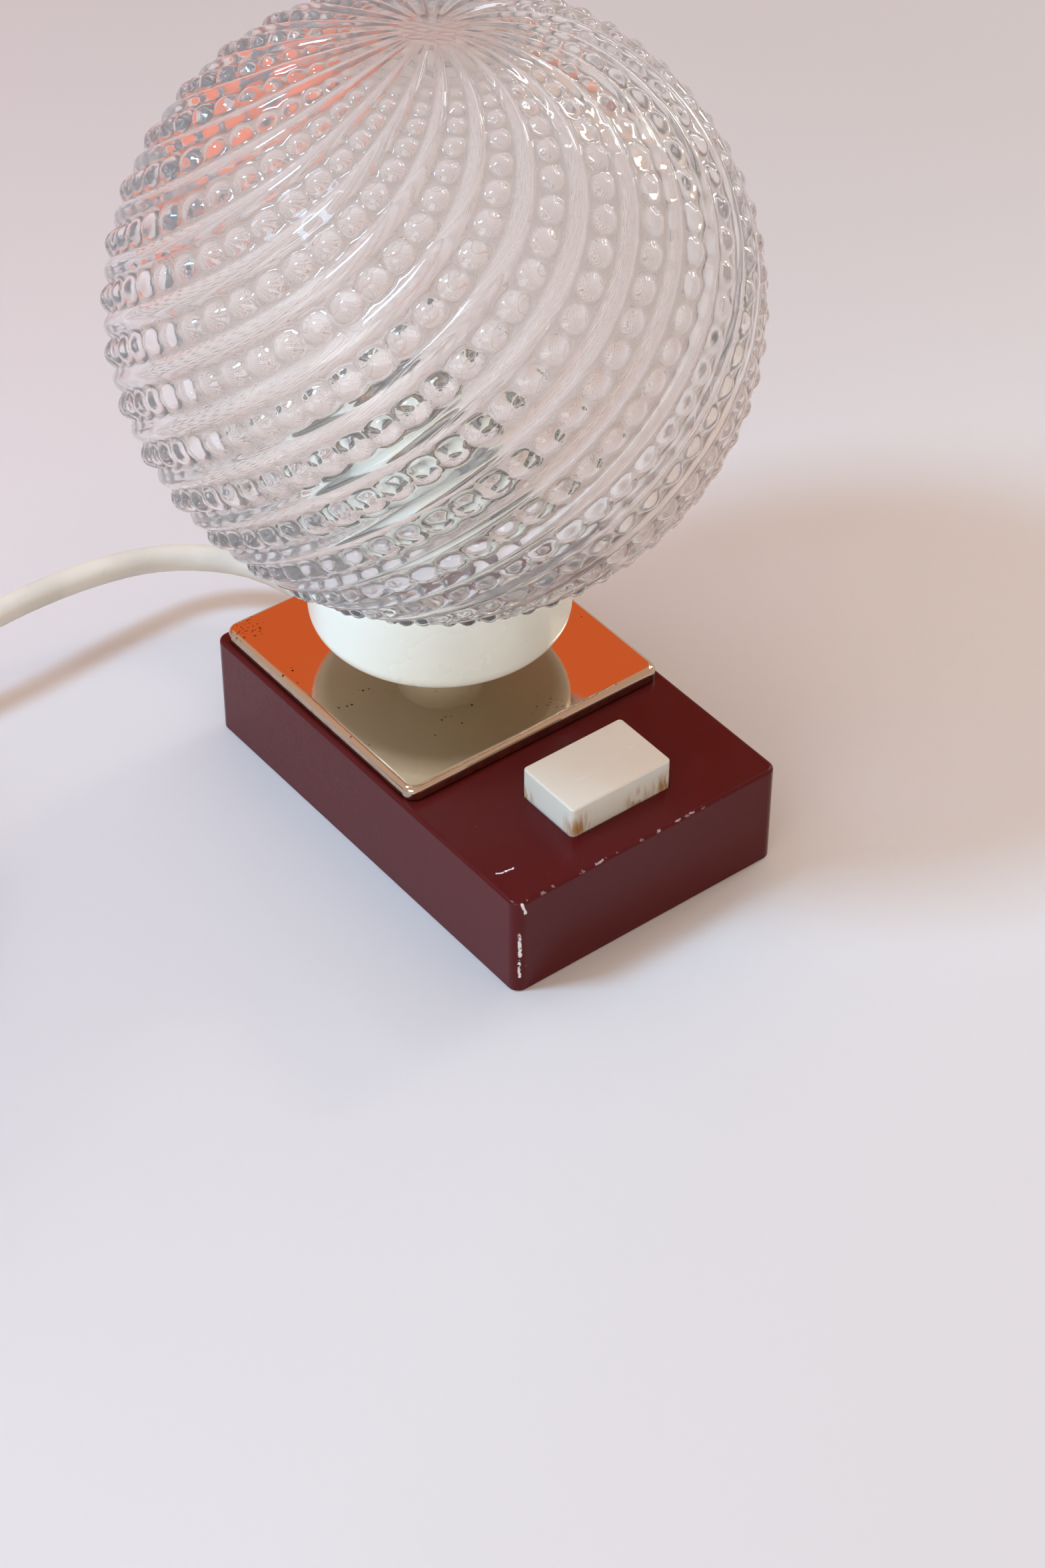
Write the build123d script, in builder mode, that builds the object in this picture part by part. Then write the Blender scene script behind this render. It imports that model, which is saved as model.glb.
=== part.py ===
"""Night lamp: a box base with a push button, a bright plate, a white cup and a clear pressed-glass globe.

Millimetres, +Z up. The origin is the middle of the face that the base stands on.
The button end is -Y, and the cord leaves the +Y end.
"""

import os
from math import acos, asin, cos, degrees, pi, radians, sin, sqrt, tan

from build123d import *

# Base box
base_width = 70.4
base_height = 25.0
base_wall = 2.5
base_corner_radius = 2.6
base_edge_radius = 0.9

# Clearances and the overrun of cuts
cut_overrun = 1.0
slip_clearance = 0.3
thread_clearance = 0.05
screw_clearance = 0.2

# Bottom cover, its pads and screws
cover_recess = 1.2
cover_thickness = 2.0
boss_radius = 3.5
boss_inset = 5.2
screw_radius = 1.25
screw_head_radius = 2.6
screw_head_height = 1.2
cover_screw_length = 11.0
pad_radius = 5.0
pad_inset_x = 10.5
pad_inset_y = 18.0

# Bright plate: a pressed tray standing upside down on the base
plate_width = 67.8
plate_depth = 69.6
plate_height = 3.5
plate_sheet = 0.9
plate_corner_radius = 3.0
plate_rim_radius = 1.5
plate_rear_margin = 1.6
deck_depth = 37.8

# Push button
button_width = 26.4
button_depth = 17.0
button_stand = 7.4
button_front_margin = 9.4
button_corner_radius = 1.0
button_edge_radius = 0.5
button_wall = 1.8
button_flange = 1.5
button_travel = 3.0

# Switch under the button
switch_width = 22.0
switch_depth = 15.0
switch_floor = 2.0
switch_floor_gap = 1.3
switch_ear_reach = 25.0
switch_ear_width = 8.0
switch_ear_thickness = 2.0
switch_ear_drop = 1.9
switch_post_x = 21.0
switch_post_radius = 3.0
plunger_radius = 4.2
plunger_collar_radius = 5.6
plunger_collar_height = 1.6
plunger_depth = 4.4
bridge_length = 19.0
bridge_width = 10.6
bridge_thickness = 0.6
contact_x = 8.0
contact_width = 3.0
contact_depth = 9.5
contact_height = 8.5
spring_wire = 0.6
spring_radius = 3.3
spring_turns = 4
mount_screw_length = 7.0
contact_screw_length = 3.4
contact_screw_radius = 1.1
contact_screw_head_radius = 2.0
contact_screw_drop = 6.2
contact_screw_setback = 2.4

# Hollow stem that clamps base, plate, neck and cup together
stem_radius = 5.0
stem_bore_radius = 3.4
stem_tail = 2.0
washer_radius = 8.6
washer_thickness = 1.0
nut_across_flats = 14.0
nut_height = 4.0
pedestal_radius = 14.0

# Neck and cup
neck_radius = 9.5
neck_height = 10.1
cup_radius = 28.7
cup_height = 19.9
cup_wall = 2.4
cup_floor = 2.5
cup_edge_radius = 4.0
cup_lip_radius = 0.8
seat_ring_width = 6.0
seat_ring_height = 2.0

# Glass globe: a slightly flattened ball with swirled ribs, on a plain neck
globe_radius = 67.5
globe_half_height = 63.5
globe_wall = 4.8
globe_rim_gap = 2.4
globe_neck_wall = 3.4
globe_neck_clearance = 0.7
globe_shoulder_radius = 3.0
rib_count = 22
rib_height = 1.0
rib_swirl_share = 1.32
rib_top_angle = 4
rib_fade_angle = 22
rib_steps = 24
rib_line_shares = ((0, 0), (0.27, 1), (0.54, 0), (0.77, 1), (1, 0))

# Lampholder
holder_radius = 13.5
holder_height = 34.0
holder_wall = 2.2
holder_floor = 5.0
holder_edge_radius = 1.0
insert_height = 6.0
insert_gap = 2.0
insert_fit = 0.1
shell_radius = 8.3
shell_wall = 0.6
shell_height = 20.0
tongue_width = 4.0
tongue_thickness = 0.5
tongue_rise = 2.4
tongue_reach = 5.0
holder_screw_offset = 9.0

# Bulb
bulb_cap_clearance = 0.4
bulb_cap_wall = 0.4
bulb_cap_height = 19.0
bulb_radius = 13.0
bulb_straight = 14.0
bulb_glass_wall = 0.8
bulb_neck_length = 12.0
bulb_insulator_height = 2.2
bulb_tip_radius = 3.2
bulb_tip_height = 1.2
bulb_stem_radius = 3.4
bulb_stem_length = 18.0
lead_wire_radius = 0.35
lead_spread = 5.0
filament_radius = 0.6

# Cord, gland and clamp
cord_diameter = 6.2
gland_length = 20.0
gland_outside = 11.5
gland_flange = 2.0
gland_flange_radius = 6.6
gland_neck_radius = 5.0
gland_shoulder_radius = 6.2
gland_tip_wall = 0.8
clamp_y_gap = 11.0
clamp_width = 8.0
clamp_post_x = 7.4
clamp_post_radius = 3.0
clamp_bar_thickness = 2.5
clamp_screw_length = 9.0
tail_past_clamp = 3.0
wire_radius = 1.1
wire_spacing = 2.8
live_wire_x = 10.5

# Route of the free cord, from the gland to the coil
cord_grip = 4.0
cord_straight = 27.6
cord_leaving = [
    (-19.5, 96.0, 15.2),
    (-46.0, 97.5, 19.5),
    (-75.0, 95.0, 21.0),
    (-99.0, 94.5, 16.5),
    (-121.0, 96.5, 8.5),
]
coil_approach = 16.0
bend_share = 0.45

# Coil of the put-away length
coil_x = -161.0
coil_y = 49.0
coil_outer_radius = 47.5
coil_gap = 0.7
coil_turns_in = 3.0
coil_turns_out = 2.75
coil_climb_turns = 0.5
coil_steps_per_turn = 4
coil_end_run = 20.0
tie_turn = 0.75
tie_thickness = 0.8
tie_width = 6.0
tie_gap = 0.4

# Plug
plug_width = 30.0
plug_length = 34.0
plug_corner_radius = 7.0
plug_edge_radius = 2.0
plug_relief_length = 22.0
plug_relief_wall = 2.4
plug_relief_tip_wall = 0.8
pin_radius = 2.0
pin_length = 19.0
pin_spacing = 18.6
pin_root_radius = 1.5
pin_socket = 6.0
pin_tip_radius = 1.0

# Levels and places worked out from the sizes above
base_length = plate_rear_margin + plate_depth + deck_depth
cavity_top = base_height - base_wall
cavity_width = base_width - 2 * base_wall
cavity_length = base_length - 2 * base_wall
cover_top = cover_recess + cover_thickness
rear_face = base_length / 2
rear_wall_inside = rear_face - base_wall
lamp_y = rear_face - plate_rear_margin - plate_depth / 2
plate_top = base_height + plate_height
pedestal_height = plate_height - plate_sheet
cup_bottom = plate_top + neck_height
cup_floor_top = cup_bottom + cup_floor
cup_rim = cup_bottom + cup_height
cup_inside = cup_radius - cup_wall
seat_top = cup_floor_top + seat_ring_height
lower_washer_bottom = cavity_top - washer_thickness
lower_nut_bottom = lower_washer_bottom - nut_height
stem_bottom = lower_nut_bottom - stem_tail
upper_nut_bottom = cup_floor_top + washer_thickness
holder_bottom = upper_nut_bottom + nut_height
holder_floor_top = holder_bottom + holder_floor
holder_top = holder_bottom + holder_height
insert_bottom = holder_floor_top + insert_gap
insert_top = insert_bottom + insert_height
globe_drop = globe_half_height * sqrt(1 - (cup_radius / globe_radius) ** 2)
globe_middle = cup_rim + globe_rim_gap + globe_drop
button_y = button_front_margin + button_depth / 2 - base_length / 2
flange_top = cavity_top - slip_clearance
flange_bottom = flange_top - button_flange
button_top = base_height + button_stand
switch_top = flange_bottom - button_travel - 2 * slip_clearance
switch_bottom = cover_top + switch_floor_gap
spring_seat = switch_bottom + switch_floor
plunger_bottom = switch_top - plunger_depth
bridge_bottom = switch_top + button_travel + slip_clearance
ear_top = switch_top - switch_ear_drop
clamp_y = rear_wall_inside - clamp_y_gap
gland_inner_end = rear_face + gland_outside - gland_length
tail_end = clamp_y - clamp_width / 2 - tail_past_clamp
cord_radius = cord_diameter / 2
cord_rise = base_height / 2
cord_start = gland_inner_end + cord_grip
cord_route = [
    (0, cord_start, cord_rise),
    (0, cord_start + cord_straight, cord_rise),
    *cord_leaving,
]
clamp_bar_top = cord_rise - cord_radius - slip_clearance
boss_spots = [
    (side * (cavity_width / 2 - boss_inset), end * (cavity_length / 2 - boss_inset))
    for side in (-1, 1)
    for end in (-1, 1)
]
pad_spots = [
    (side * (cavity_width / 2 - pad_inset_x), end * (cavity_length / 2 - pad_inset_y))
    for side in (-1, 1)
    for end in (-1, 1)
]
post_spots = [(-switch_post_x, button_y), (switch_post_x, button_y)]
clamp_spots = [(-clamp_post_x, clamp_y), (clamp_post_x, clamp_y)]
lamp_axis = Axis((0, lamp_y, 0), (0, 0, 1))
lamp_section = Plane(origin=(0, lamp_y, 0), x_dir=(1, 0, 0), z_dir=(0, -1, 0))
rear_plane = Plane(origin=(0, rear_face, cord_rise), x_dir=(-1, 0, 0), z_dir=(0, 1, 0))
upward = (Align.CENTER, Align.CENTER, Align.MIN)
downward = (Align.CENTER, Align.CENTER, Align.MAX)


def lamp_level(height):
    """A level plane on the lamp's upright axis."""
    return Plane(origin=(0, lamp_y, height))


def from_below(spots, height):
    """Places that look up into the base from underneath."""
    return [Location((x, y, height), (180, 0, 0)) for x, y in spots]


def bend_radii(route):
    """The radius at each corner of a route, as large as its two runs allow."""
    radii = []
    for before, corner, after in zip(route, route[1:], route[2:]):
        arriving = Vector(*corner) - Vector(*before)
        leaving = Vector(*after) - Vector(*corner)
        half_turn = radians(arriving.get_angle(leaving)) / 2
        radii.append(bend_share * min(arriving.length, leaving.length) / tan(half_turn))
    return radii


def biarc(start, start_heading, end, end_heading):
    """Two arcs that leave start and reach end along the headings given, in the line being built."""
    span = end - start
    both = start_heading + end_heading
    bend = 2 * (1 - start_heading.dot(end_heading))
    along = span.dot(both)
    reach = (sqrt(along**2 + bend * span.dot(span)) - along) / bend
    middle = (start + start_heading * reach + end - end_heading * reach) / 2
    first = TangentArc(start, middle, tangent=start_heading)
    TangentArc(middle, end, tangent=first % 1)


def wound_line(points, headings):
    """Biarcs through the points of a winding, in the line being built."""
    for here, there, heading, next_heading in zip(points, points[1:], headings, headings[1:]):
        biarc(here, heading, there, next_heading)


# Base housing: a box open underneath, with its bosses, posts and cord saddle
with BuildPart() as base_housing:
    with BuildSketch():
        RectangleRounded(base_width, base_length, base_corner_radius)
    extrude(amount=base_height)
    fillet(base_housing.faces().sort_by(Axis.Z)[-1].edges(), base_edge_radius)
    with BuildSketch():
        RectangleRounded(cavity_width, cavity_length, base_corner_radius / 2)
    extrude(amount=cavity_top, mode=Mode.SUBTRACT)
    with BuildSketch(Plane.XY.offset(cover_top)):
        with Locations(*boss_spots):
            Circle(boss_radius)
    extrude(amount=cavity_top - cover_top)
    with BuildSketch(Plane.XY.offset(ear_top)):
        with Locations(*post_spots):
            Circle(switch_post_radius)
    extrude(amount=cavity_top - ear_top)
    with BuildSketch(Plane.XY.offset(clamp_bar_top)):
        with Locations(*clamp_spots):
            Circle(clamp_post_radius)
    extrude(amount=cavity_top - clamp_bar_top)
    with BuildSketch(Plane.XY.offset(cord_rise + cord_radius + slip_clearance)):
        with Locations((0, clamp_y)):
            Rectangle(cord_diameter, clamp_width)
    extrude(until=Until.NEXT)
    with BuildSketch(lamp_level(base_height)):
        Circle(pedestal_radius)
    extrude(amount=pedestal_height)
    with Locations(lamp_level(base_height + pedestal_height)):
        Hole(stem_radius + slip_clearance, depth=base_wall + pedestal_height + cut_overrun)
    with BuildSketch(Plane.XY.offset(base_height)):
        with Locations((0, button_y)):
            RectangleRounded(
                button_width + 2 * slip_clearance,
                button_depth + 2 * slip_clearance,
                button_corner_radius + slip_clearance,
            )
    extrude(amount=-base_wall, mode=Mode.SUBTRACT)
    with Locations(*from_below(boss_spots, cover_top)):
        Hole(screw_radius + thread_clearance, depth=cover_screw_length)
    with Locations(*from_below(post_spots, ear_top)):
        Hole(screw_radius + thread_clearance, depth=mount_screw_length)
    with Locations(*from_below(clamp_spots, clamp_bar_top)):
        Hole(screw_radius + thread_clearance, depth=clamp_screw_length)
    with Locations(rear_plane):
        Hole(gland_neck_radius + thread_clearance, depth=base_wall + cut_overrun)
base_housing.part.label = "base_housing"

# Bottom cover, set into the base
with BuildPart() as bottom_cover:
    with BuildSketch(Plane.XY.offset(cover_recess)):
        RectangleRounded(
            cavity_width - 2 * slip_clearance,
            cavity_length - 2 * slip_clearance,
            base_corner_radius / 2,
        )
    extrude(amount=cover_thickness)
    with Locations(*from_below(boss_spots, cover_recess)):
        CounterSinkHole(
            screw_radius + screw_clearance,
            screw_head_radius + screw_clearance,
            counter_sink_angle=90,
        )
bottom_cover.part.label = "bottom_cover"

# Countersunk screws of the cover
with BuildPart() as cover_screws:
    with Locations(*[(x, y, cover_recess) for x, y in boss_spots]):
        Cone(screw_head_radius, screw_radius, screw_head_radius - screw_radius, align=upward)
        Cylinder(screw_radius, cover_screw_length, align=upward)
cover_screws.part.label = "cover_screws"

# Pads under the cover
with BuildPart() as foot_pads:
    with BuildSketch():
        with Locations(*pad_spots):
            Circle(pad_radius)
    extrude(amount=cover_recess)
foot_pads.part.label = "foot_pads"

# Bright plate with a rolled-over rim
with BuildPart() as mirror_plate:
    with BuildSketch(lamp_level(base_height)):
        RectangleRounded(plate_width, plate_depth, plate_corner_radius)
    extrude(amount=plate_height)
    fillet(mirror_plate.faces().sort_by(Axis.Z)[-1].edges(), plate_rim_radius)
    with BuildSketch(lamp_level(base_height)):
        RectangleRounded(
            plate_width - 2 * plate_sheet,
            plate_depth - 2 * plate_sheet,
            plate_corner_radius - plate_sheet,
        )
    extrude(amount=plate_height - plate_sheet, mode=Mode.SUBTRACT)
    with Locations(lamp_level(plate_top)):
        Hole(stem_radius + slip_clearance)
mirror_plate.part.label = "mirror_plate"

# Neck between plate and cup
with BuildPart() as neck_collar:
    with BuildSketch(lamp_level(plate_top)):
        Circle(neck_radius)
        Circle(stem_radius + slip_clearance, mode=Mode.SUBTRACT)
    extrude(amount=neck_height)
neck_collar.part.label = "neck_collar"

# White cup that takes the globe
with BuildPart() as shade_cup:
    with BuildSketch(lamp_level(cup_bottom)):
        Circle(cup_radius)
    extrude(amount=cup_height)
    fillet(shade_cup.edges().sort_by(Axis.Z)[0], cup_edge_radius)
    with BuildSketch(lamp_level(cup_floor_top)):
        Circle(cup_inside)
    extrude(amount=cup_height, mode=Mode.SUBTRACT)
    fillet(shade_cup.edges().group_by(Axis.Z)[-1], cup_lip_radius)
    with Locations(lamp_level(cup_floor_top)):
        Hole(stem_radius + slip_clearance)
shade_cup.part.label = "shade_cup"

# Soft ring that the globe's neck stands on
with BuildPart() as seat_ring:
    with BuildSketch(lamp_level(cup_floor_top)):
        Circle(cup_inside - slip_clearance)
        Circle(cup_inside - slip_clearance - seat_ring_width, mode=Mode.SUBTRACT)
    extrude(amount=seat_ring_height)
seat_ring.part.label = "seat_ring"

# Glass globe, a hollow flattened ball with an open neck, ruled outside from one swirled line to the next
globe_neck_radius = cup_inside - globe_neck_clearance
globe_mouth_radius = globe_neck_radius - globe_neck_wall
globe_root_radius = globe_radius - rib_height
globe_root_height = globe_half_height - rib_height
rib_low_angle = 180 - degrees(asin(globe_neck_radius / globe_root_radius))
inner_start = degrees(acos(globe_mouth_radius / (globe_radius - globe_wall)))


def rib_place(turn_share, crest_share, step):
    """A point of a line that winds down the globe, raised by a share of the ribs' height."""
    angle = rib_top_angle + (rib_low_angle - rib_top_angle) * step / rib_steps
    polar = radians(angle)
    fade = min((angle - rib_top_angle) / rib_fade_angle, (rib_low_angle - angle) / rib_fade_angle, 1)
    swell = rib_height * crest_share * fade
    wound = 1 - cos(polar) if polar <= pi / 2 else 1 + polar - pi / 2
    turn = 2 * pi * turn_share / rib_count - rib_swirl_share * wound
    reach = (globe_root_radius + swell) * sin(polar)
    return Vector(
        reach * cos(turn),
        lamp_y + reach * sin(turn),
        globe_middle + (globe_root_height + swell) * cos(polar),
    )


rib_lines = [
    Edge.make_spline([rib_place(turn, crest, step) for step in range(rib_steps + 1)])
    for turn, crest in rib_line_shares
]
neck_lines = [Edge.make_line(line @ 1, Vector((line @ 1).X, (line @ 1).Y, seat_top)) for line in rib_lines]
rib_turns = [360 * rib / rib_count for rib in range(rib_count)]
globe_faces = []
for lines in (rib_lines, neck_lines):
    for here, there in zip(lines, lines[1:]):
        strip = Face.make_surface_from_curves(here, there)
        globe_faces += [strip.rotate(lamp_axis, turn) for turn in rib_turns]
for lines, end in ((rib_lines, 0), (neck_lines, 1)):
    corners = [line.rotate(lamp_axis, turn) @ end for turn in rib_turns for line in lines[:-1]]
    globe_faces.append(Face(Wire.make_polygon(corners, close=True)))
with BuildPart() as glass_globe:
    add(Solid(Shell(globe_faces)))
    with BuildSketch(lamp_section):
        with BuildLine():
            inside = EllipticalCenterArc(
                (0, globe_middle),
                globe_radius - globe_wall,
                globe_half_height - globe_wall,
                start_angle=-inner_start,
                arc_size=inner_start + 90,
            )
            Polyline(inside @ 0, (globe_mouth_radius, seat_top), (0, seat_top), inside @ 1)
        make_face()
    revolve(axis=lamp_axis, mode=Mode.SUBTRACT)
    inner_shoulder = glass_globe.edges().filter_by(GeomType.CIRCLE).sort_by(Axis.Z)[-1]
    fillet(inner_shoulder, globe_shoulder_radius)
glass_globe.part.label = "glass_globe"

# Push button: a hollow cap whose flange keeps it in the base
with BuildPart() as button_cap:
    with BuildSketch(Plane.XY.offset(flange_bottom)):
        with Locations((0, button_y)):
            RectangleRounded(button_width, button_depth, button_corner_radius)
    extrude(amount=button_top - flange_bottom)
    fillet(button_cap.faces().sort_by(Axis.Z)[-1].edges(), button_edge_radius)
    with BuildSketch(Plane.XY.offset(flange_bottom)):
        with Locations((0, button_y)):
            RectangleRounded(
                button_width + 2 * button_flange,
                button_depth + 2 * button_flange,
                button_corner_radius + button_flange,
            )
    extrude(amount=button_flange)
    with BuildSketch(Plane.XY.offset(flange_bottom)):
        with Locations((0, button_y)):
            Rectangle(button_width - 2 * button_wall, button_depth - 2 * button_wall)
    extrude(amount=button_top - button_wall - flange_bottom, mode=Mode.SUBTRACT)
button_cap.part.label = "button_cap"

# Plunger that the button pushes
with BuildPart() as switch_plunger:
    with Locations((0, button_y, plunger_bottom)):
        Cylinder(plunger_radius, button_top - button_wall - plunger_bottom, align=upward)
    with Locations((0, button_y, bridge_bottom + bridge_thickness)):
        Cylinder(plunger_collar_radius, plunger_collar_height, align=upward)
switch_plunger.part.label = "switch_plunger"

# Moving contact carried by the plunger
with BuildPart() as switch_bridge:
    with BuildSketch(Plane.XY.offset(bridge_bottom)):
        with Locations((0, button_y)):
            SlotOverall(bridge_length, bridge_width)
            Circle(plunger_radius + thread_clearance, mode=Mode.SUBTRACT)
    extrude(amount=bridge_thickness)
switch_bridge.part.label = "switch_bridge"

# Switch body with ears, a bore for the plunger and slots for the fixed contacts
contact_spots = [
    (side * contact_x, button_y + switch_depth / 2 - contact_depth / 2) for side in (-1, 1)
]
with BuildPart() as switch_body:
    with BuildSketch(Plane.XY.offset(switch_bottom)):
        with Locations((0, button_y)):
            Rectangle(switch_width, switch_depth)
    extrude(amount=switch_top - switch_bottom)
    with BuildSketch(Plane.XY.offset(ear_top)):
        with Locations((0, button_y)):
            SlotOverall(2 * switch_ear_reach, switch_ear_width)
    extrude(amount=-switch_ear_thickness)
    with Locations((0, button_y, switch_top)):
        Hole(plunger_radius + slip_clearance, depth=switch_top - spring_seat)
    with Locations(*[(x, y, ear_top) for x, y in post_spots]):
        Hole(screw_radius + screw_clearance, depth=switch_ear_thickness)
    with BuildSketch(Plane.XY.offset(switch_top)):
        with Locations(*contact_spots):
            Rectangle(contact_width + 2 * thread_clearance, contact_depth + 2 * thread_clearance)
    extrude(amount=-contact_height, mode=Mode.SUBTRACT)
    for side in (-1, 1):
        screw_place = Plane(
            origin=(
                side * switch_width / 2,
                button_y + switch_depth / 2 - contact_screw_setback,
                switch_top - contact_screw_drop,
            ),
            z_dir=(side, 0, 0),
        )
        with Locations(screw_place):
            Hole(contact_screw_radius + screw_clearance, depth=switch_width / 2 - contact_x)
switch_body.part.label = "switch_body"

# Fixed contacts in their slots
with BuildPart() as switch_contacts:
    with BuildSketch(Plane.XY.offset(switch_top)):
        with Locations(*contact_spots):
            Rectangle(contact_width, contact_depth)
    extrude(amount=-contact_height)
    for side in (-1, 1):
        screw_place = Plane(
            origin=(
                side * (contact_x + contact_width / 2),
                button_y + switch_depth / 2 - contact_screw_setback,
                switch_top - contact_screw_drop,
            ),
            z_dir=(side, 0, 0),
        )
        with Locations(screw_place):
            Hole(contact_screw_radius + thread_clearance, depth=contact_width)
switch_contacts.part.label = "switch_contacts"

# Screws that hold the wires in the fixed contacts
with BuildPart() as contact_screws:
    for side in (-1, 1):
        screw_place = Plane(
            origin=(
                side * switch_width / 2,
                button_y + switch_depth / 2 - contact_screw_setback,
                switch_top - contact_screw_drop,
            ),
            z_dir=(side, 0, 0),
        )
        with Locations(screw_place):
            Cylinder(contact_screw_head_radius, screw_head_height, align=upward)
            Cylinder(contact_screw_radius, contact_screw_length, align=downward)
contact_screws.part.label = "contact_screws"

# Screws that hold the switch under its posts
with BuildPart() as switch_screws:
    with Locations(*[(x, y, ear_top - switch_ear_thickness) for x, y in post_spots]):
        Cylinder(screw_head_radius, screw_head_height, align=downward)
        Cylinder(screw_radius, mount_screw_length, align=upward)
switch_screws.part.label = "switch_screws"

# Return spring under the plunger
spring_low = spring_seat + spring_wire
spring_high = plunger_bottom - spring_wire
spring_steps = 4 * spring_turns
spring_points = [
    Vector(
        spring_radius * cos(step * pi / 2),
        button_y + spring_radius * sin(step * pi / 2),
        spring_low + (spring_high - spring_low) * step / spring_steps,
    )
    for step in range(spring_steps + 1)
]
spring_climb = (spring_high - spring_low) / (2 * pi * spring_turns)
spring_headings = [
    Vector(
        -spring_radius * sin(step * pi / 2), spring_radius * cos(step * pi / 2), spring_climb
    ).normalized()
    for step in range(spring_steps + 1)
]
with BuildPart() as switch_spring:
    with BuildLine() as spring_line:
        wound_line(spring_points, spring_headings)
    with BuildSketch(Plane(origin=spring_points[0], z_dir=spring_headings[0])):
        Circle(spring_wire / 2)
    sweep()
switch_spring.part.label = "switch_spring"

# Hollow stem from the base up into the lampholder
with BuildPart() as stem_tube:
    with BuildSketch(lamp_level(stem_bottom)):
        Circle(stem_radius)
        Circle(stem_bore_radius, mode=Mode.SUBTRACT)
    extrude(amount=holder_floor_top - stem_bottom)
stem_tube.part.label = "stem_tube"

# Washers and nuts of the stem
with BuildPart() as lower_washer:
    with BuildSketch(lamp_level(lower_washer_bottom)):
        Circle(washer_radius)
        Circle(stem_radius + screw_clearance, mode=Mode.SUBTRACT)
    extrude(amount=washer_thickness)
lower_washer.part.label = "lower_washer"

with BuildPart() as lower_nut:
    with BuildSketch(lamp_level(lower_nut_bottom)):
        RegularPolygon(nut_across_flats / 2, 6, major_radius=False)
        Circle(stem_radius + thread_clearance, mode=Mode.SUBTRACT)
    extrude(amount=nut_height)
lower_nut.part.label = "lower_nut"

with BuildPart() as upper_washer:
    with BuildSketch(lamp_level(cup_floor_top)):
        Circle(washer_radius)
        Circle(stem_radius + screw_clearance, mode=Mode.SUBTRACT)
    extrude(amount=washer_thickness)
upper_washer.part.label = "upper_washer"

with BuildPart() as upper_nut:
    with BuildSketch(lamp_level(upper_nut_bottom)):
        RegularPolygon(nut_across_flats / 2, 6, major_radius=False)
        Circle(stem_radius + thread_clearance, mode=Mode.SUBTRACT)
    extrude(amount=nut_height)
upper_nut.part.label = "upper_nut"

# Lampholder: a sleeve screwed on the stem, with an insert that carries the contacts
holder_inside = holder_radius - holder_wall
with BuildPart() as holder_body:
    with BuildSketch(lamp_level(holder_bottom)):
        Circle(holder_radius)
    extrude(amount=holder_height)
    fillet(holder_body.edges().sort_by(Axis.Z)[0], holder_edge_radius)
    with BuildSketch(lamp_level(holder_floor_top)):
        Circle(holder_inside)
    extrude(amount=holder_height, mode=Mode.SUBTRACT)
    with BuildSketch(lamp_level(holder_floor_top)):
        Circle(holder_inside)
        Circle(holder_inside - holder_wall, mode=Mode.SUBTRACT)
    extrude(amount=insert_gap)
    with Locations(lamp_level(holder_floor_top)):
        Hole(stem_radius + thread_clearance)
holder_body.part.label = "holder_body"

with BuildPart() as holder_insert:
    with BuildSketch(lamp_level(insert_bottom)):
        Circle(holder_inside - insert_fit)
    extrude(amount=insert_height)
    with Locations(*[(side * holder_screw_offset, lamp_y, insert_top) for side in (-1, 1)]):
        Hole(contact_screw_radius + thread_clearance, depth=insert_height)
holder_insert.part.label = "holder_insert"

with BuildPart() as holder_shell:
    with BuildSketch(lamp_level(insert_top)):
        Circle(shell_radius)
        Circle(shell_radius - shell_wall, mode=Mode.SUBTRACT)
    extrude(amount=shell_height)
holder_shell.part.label = "holder_shell"

# Springy tongue that feeds the bulb's tip
with BuildPart() as holder_tongue:
    with BuildSketch(lamp_section):
        with BuildLine():
            Polyline(
                (-tongue_reach, insert_top),
                (-tongue_reach / 2, insert_top),
                (0, insert_top + tongue_rise - tongue_thickness),
                (tongue_reach / 2, insert_top + tongue_rise - tongue_thickness),
                (tongue_reach / 2, insert_top + tongue_rise),
                (-tongue_thickness / 2, insert_top + tongue_rise),
                (-tongue_reach / 2 - tongue_thickness / 2, insert_top + tongue_thickness),
                (-tongue_reach, insert_top + tongue_thickness),
                close=True,
            )
        make_face()
    extrude(amount=tongue_width / 2, both=True)
holder_tongue.part.label = "holder_tongue"

with BuildPart() as holder_screws:
    with Locations(*[(side * holder_screw_offset, lamp_y, insert_top) for side in (-1, 1)]):
        Cylinder(contact_screw_radius, insert_height, align=downward)
holder_screws.part.label = "holder_screws"

# Bulb, screwed down on the tongue
bulb_cap_radius = shell_radius - shell_wall - bulb_cap_clearance
bulb_tip_bottom = insert_top + tongue_rise
bulb_insulator_bottom = bulb_tip_bottom + bulb_tip_height
bulb_cap_bottom = bulb_insulator_bottom + bulb_insulator_height
bulb_cap_top = bulb_cap_bottom + bulb_cap_height
bulb_neck_radius = bulb_cap_radius - bulb_cap_wall - thread_clearance
bulb_neck_bottom = bulb_cap_top - bulb_neck_length / 2
bulb_shoulder = bulb_neck_bottom + bulb_neck_length
bulb_belly = bulb_shoulder + bulb_radius
bulb_dome = bulb_belly + bulb_straight

with BuildPart() as bulb_cap:
    with BuildSketch(lamp_level(bulb_cap_bottom)):
        Circle(bulb_cap_radius)
        Circle(bulb_cap_radius - bulb_cap_wall, mode=Mode.SUBTRACT)
    extrude(amount=bulb_cap_height)
bulb_cap.part.label = "bulb_cap"

with BuildPart() as bulb_insulator:
    with Locations(lamp_level(bulb_insulator_bottom)):
        Cone(bulb_tip_radius, bulb_cap_radius, bulb_insulator_height, align=upward)
bulb_insulator.part.label = "bulb_insulator"

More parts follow.
